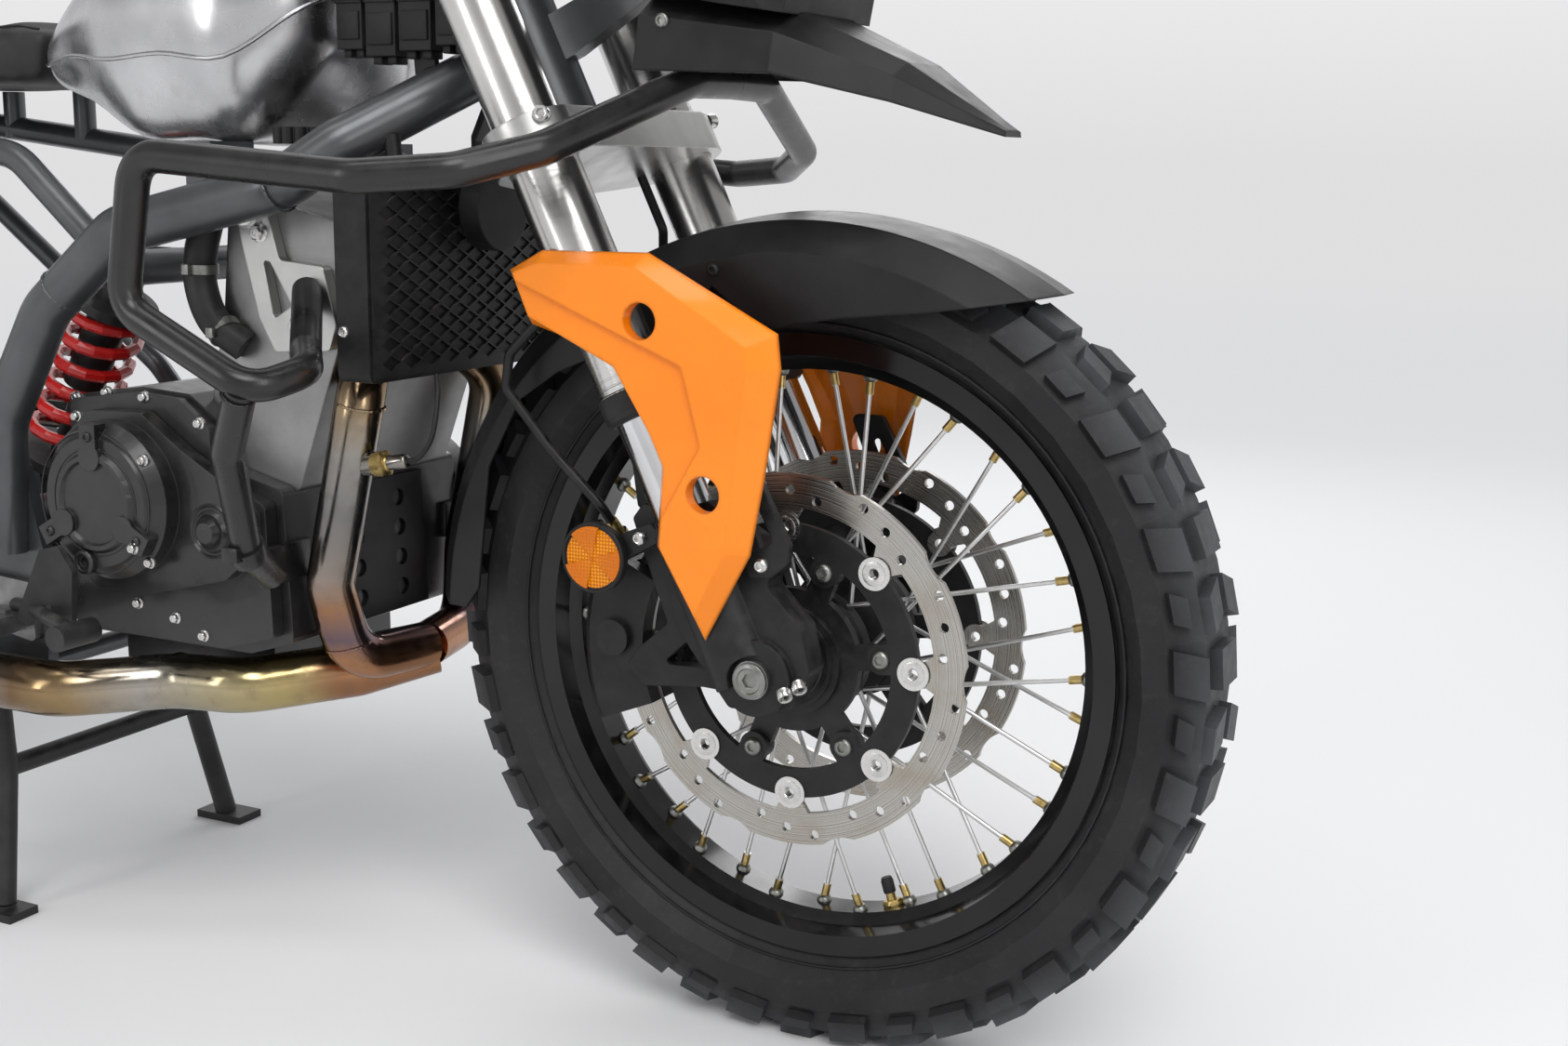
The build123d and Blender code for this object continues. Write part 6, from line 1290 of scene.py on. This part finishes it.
def dress_seat():
    """Padded cushion from the seat's own form, with its welts and cross seams."""
    mesh = NODES["seat"].data.copy()
    mesh.name = "seat_cushion"
    mesh.materials.clear()
    cushion = bpy.data.objects.new("seat_cushion", mesh)
    SCENE.collection.objects.link(cushion)
    middle = sum((Vector(v.co) for v in mesh.vertices), Vector()) / len(mesh.vertices)
    for v in mesh.vertices:
        v.co = middle + (v.co - middle) * 0.985 + UP * 0.002
    bpy.context.view_layer.objects.active = cushion
    apply_modifier(cushion, "remesh", "REMESH", mode="VOXEL", voxel_size=VOXEL)
    start = [v.co.copy() for v in cushion.data.vertices]
    swell(cushion)
    underside = min(p.z for p in start) - 0.001
    for v, rest in zip(cushion.data.vertices, start):
        move = v.co - rest
        if move.length > MOST_SWELL:
            v.co = rest + move.normalized() * MOST_SWELL
        v.co.z = max(v.co.z, underside)
    apply_modifier(cushion, "smooth", "SMOOTH", iterations=6)
    apply_modifier(cushion, "subdivide", "SUBSURF", levels=1)
    cushion.data.shade_smooth()
    cushion.data.materials.append(MATERIALS["seat_vinyl"])
    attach(cushion, "chassis")
    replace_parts(cushion, "seat")
    cover = BVHTree.FromPolygons([v.co for v in cushion.data.vertices], [p.vertices for p in cushion.data.polygons])
    bm = bmesh.new()
    for x in SEAM_STATIONS:
        seam(bm, cover, [(x, SEAM_HALF * (k / 11 - 1)) for k in range(23)], 1.3)
    for side in (-1, 1):
        seam(bm, cover, [welt_place(k / 59, side) for k in range(60)], 1.5)
    make_piece("seat_seams", bm, "chassis", "seat_vinyl", angle=60.0)


make_camera()
make_floor()
make_world()
make_lights()
SCENE.view_settings.view_transform = "Standard"
MATERIALS = make_materials()
dress_nodes()
dress_front_wheel()
dress_rear_wheel()
dress_tyre("front_tyre_lines", "front_wheel", AXLE, 49.0, ((263.0, 9.0, 2.2), (286.0, 1.6, 1.8)))
dress_tyre("rear_tyre_lines", "rear_wheel", REAR_AXLE, 69.0, ((242.0, 10.0, 2.2), (268.0, 2.0, 1.8)))
dress_reflectors()
dress_fork()
dress_brake_lines()
dress_engine()
dress_exhaust()
dress_crash_bars()
dress_frame()
dress_tank()
dress_controls()
dress_lamps()
dress_body_work()
dress_seat()
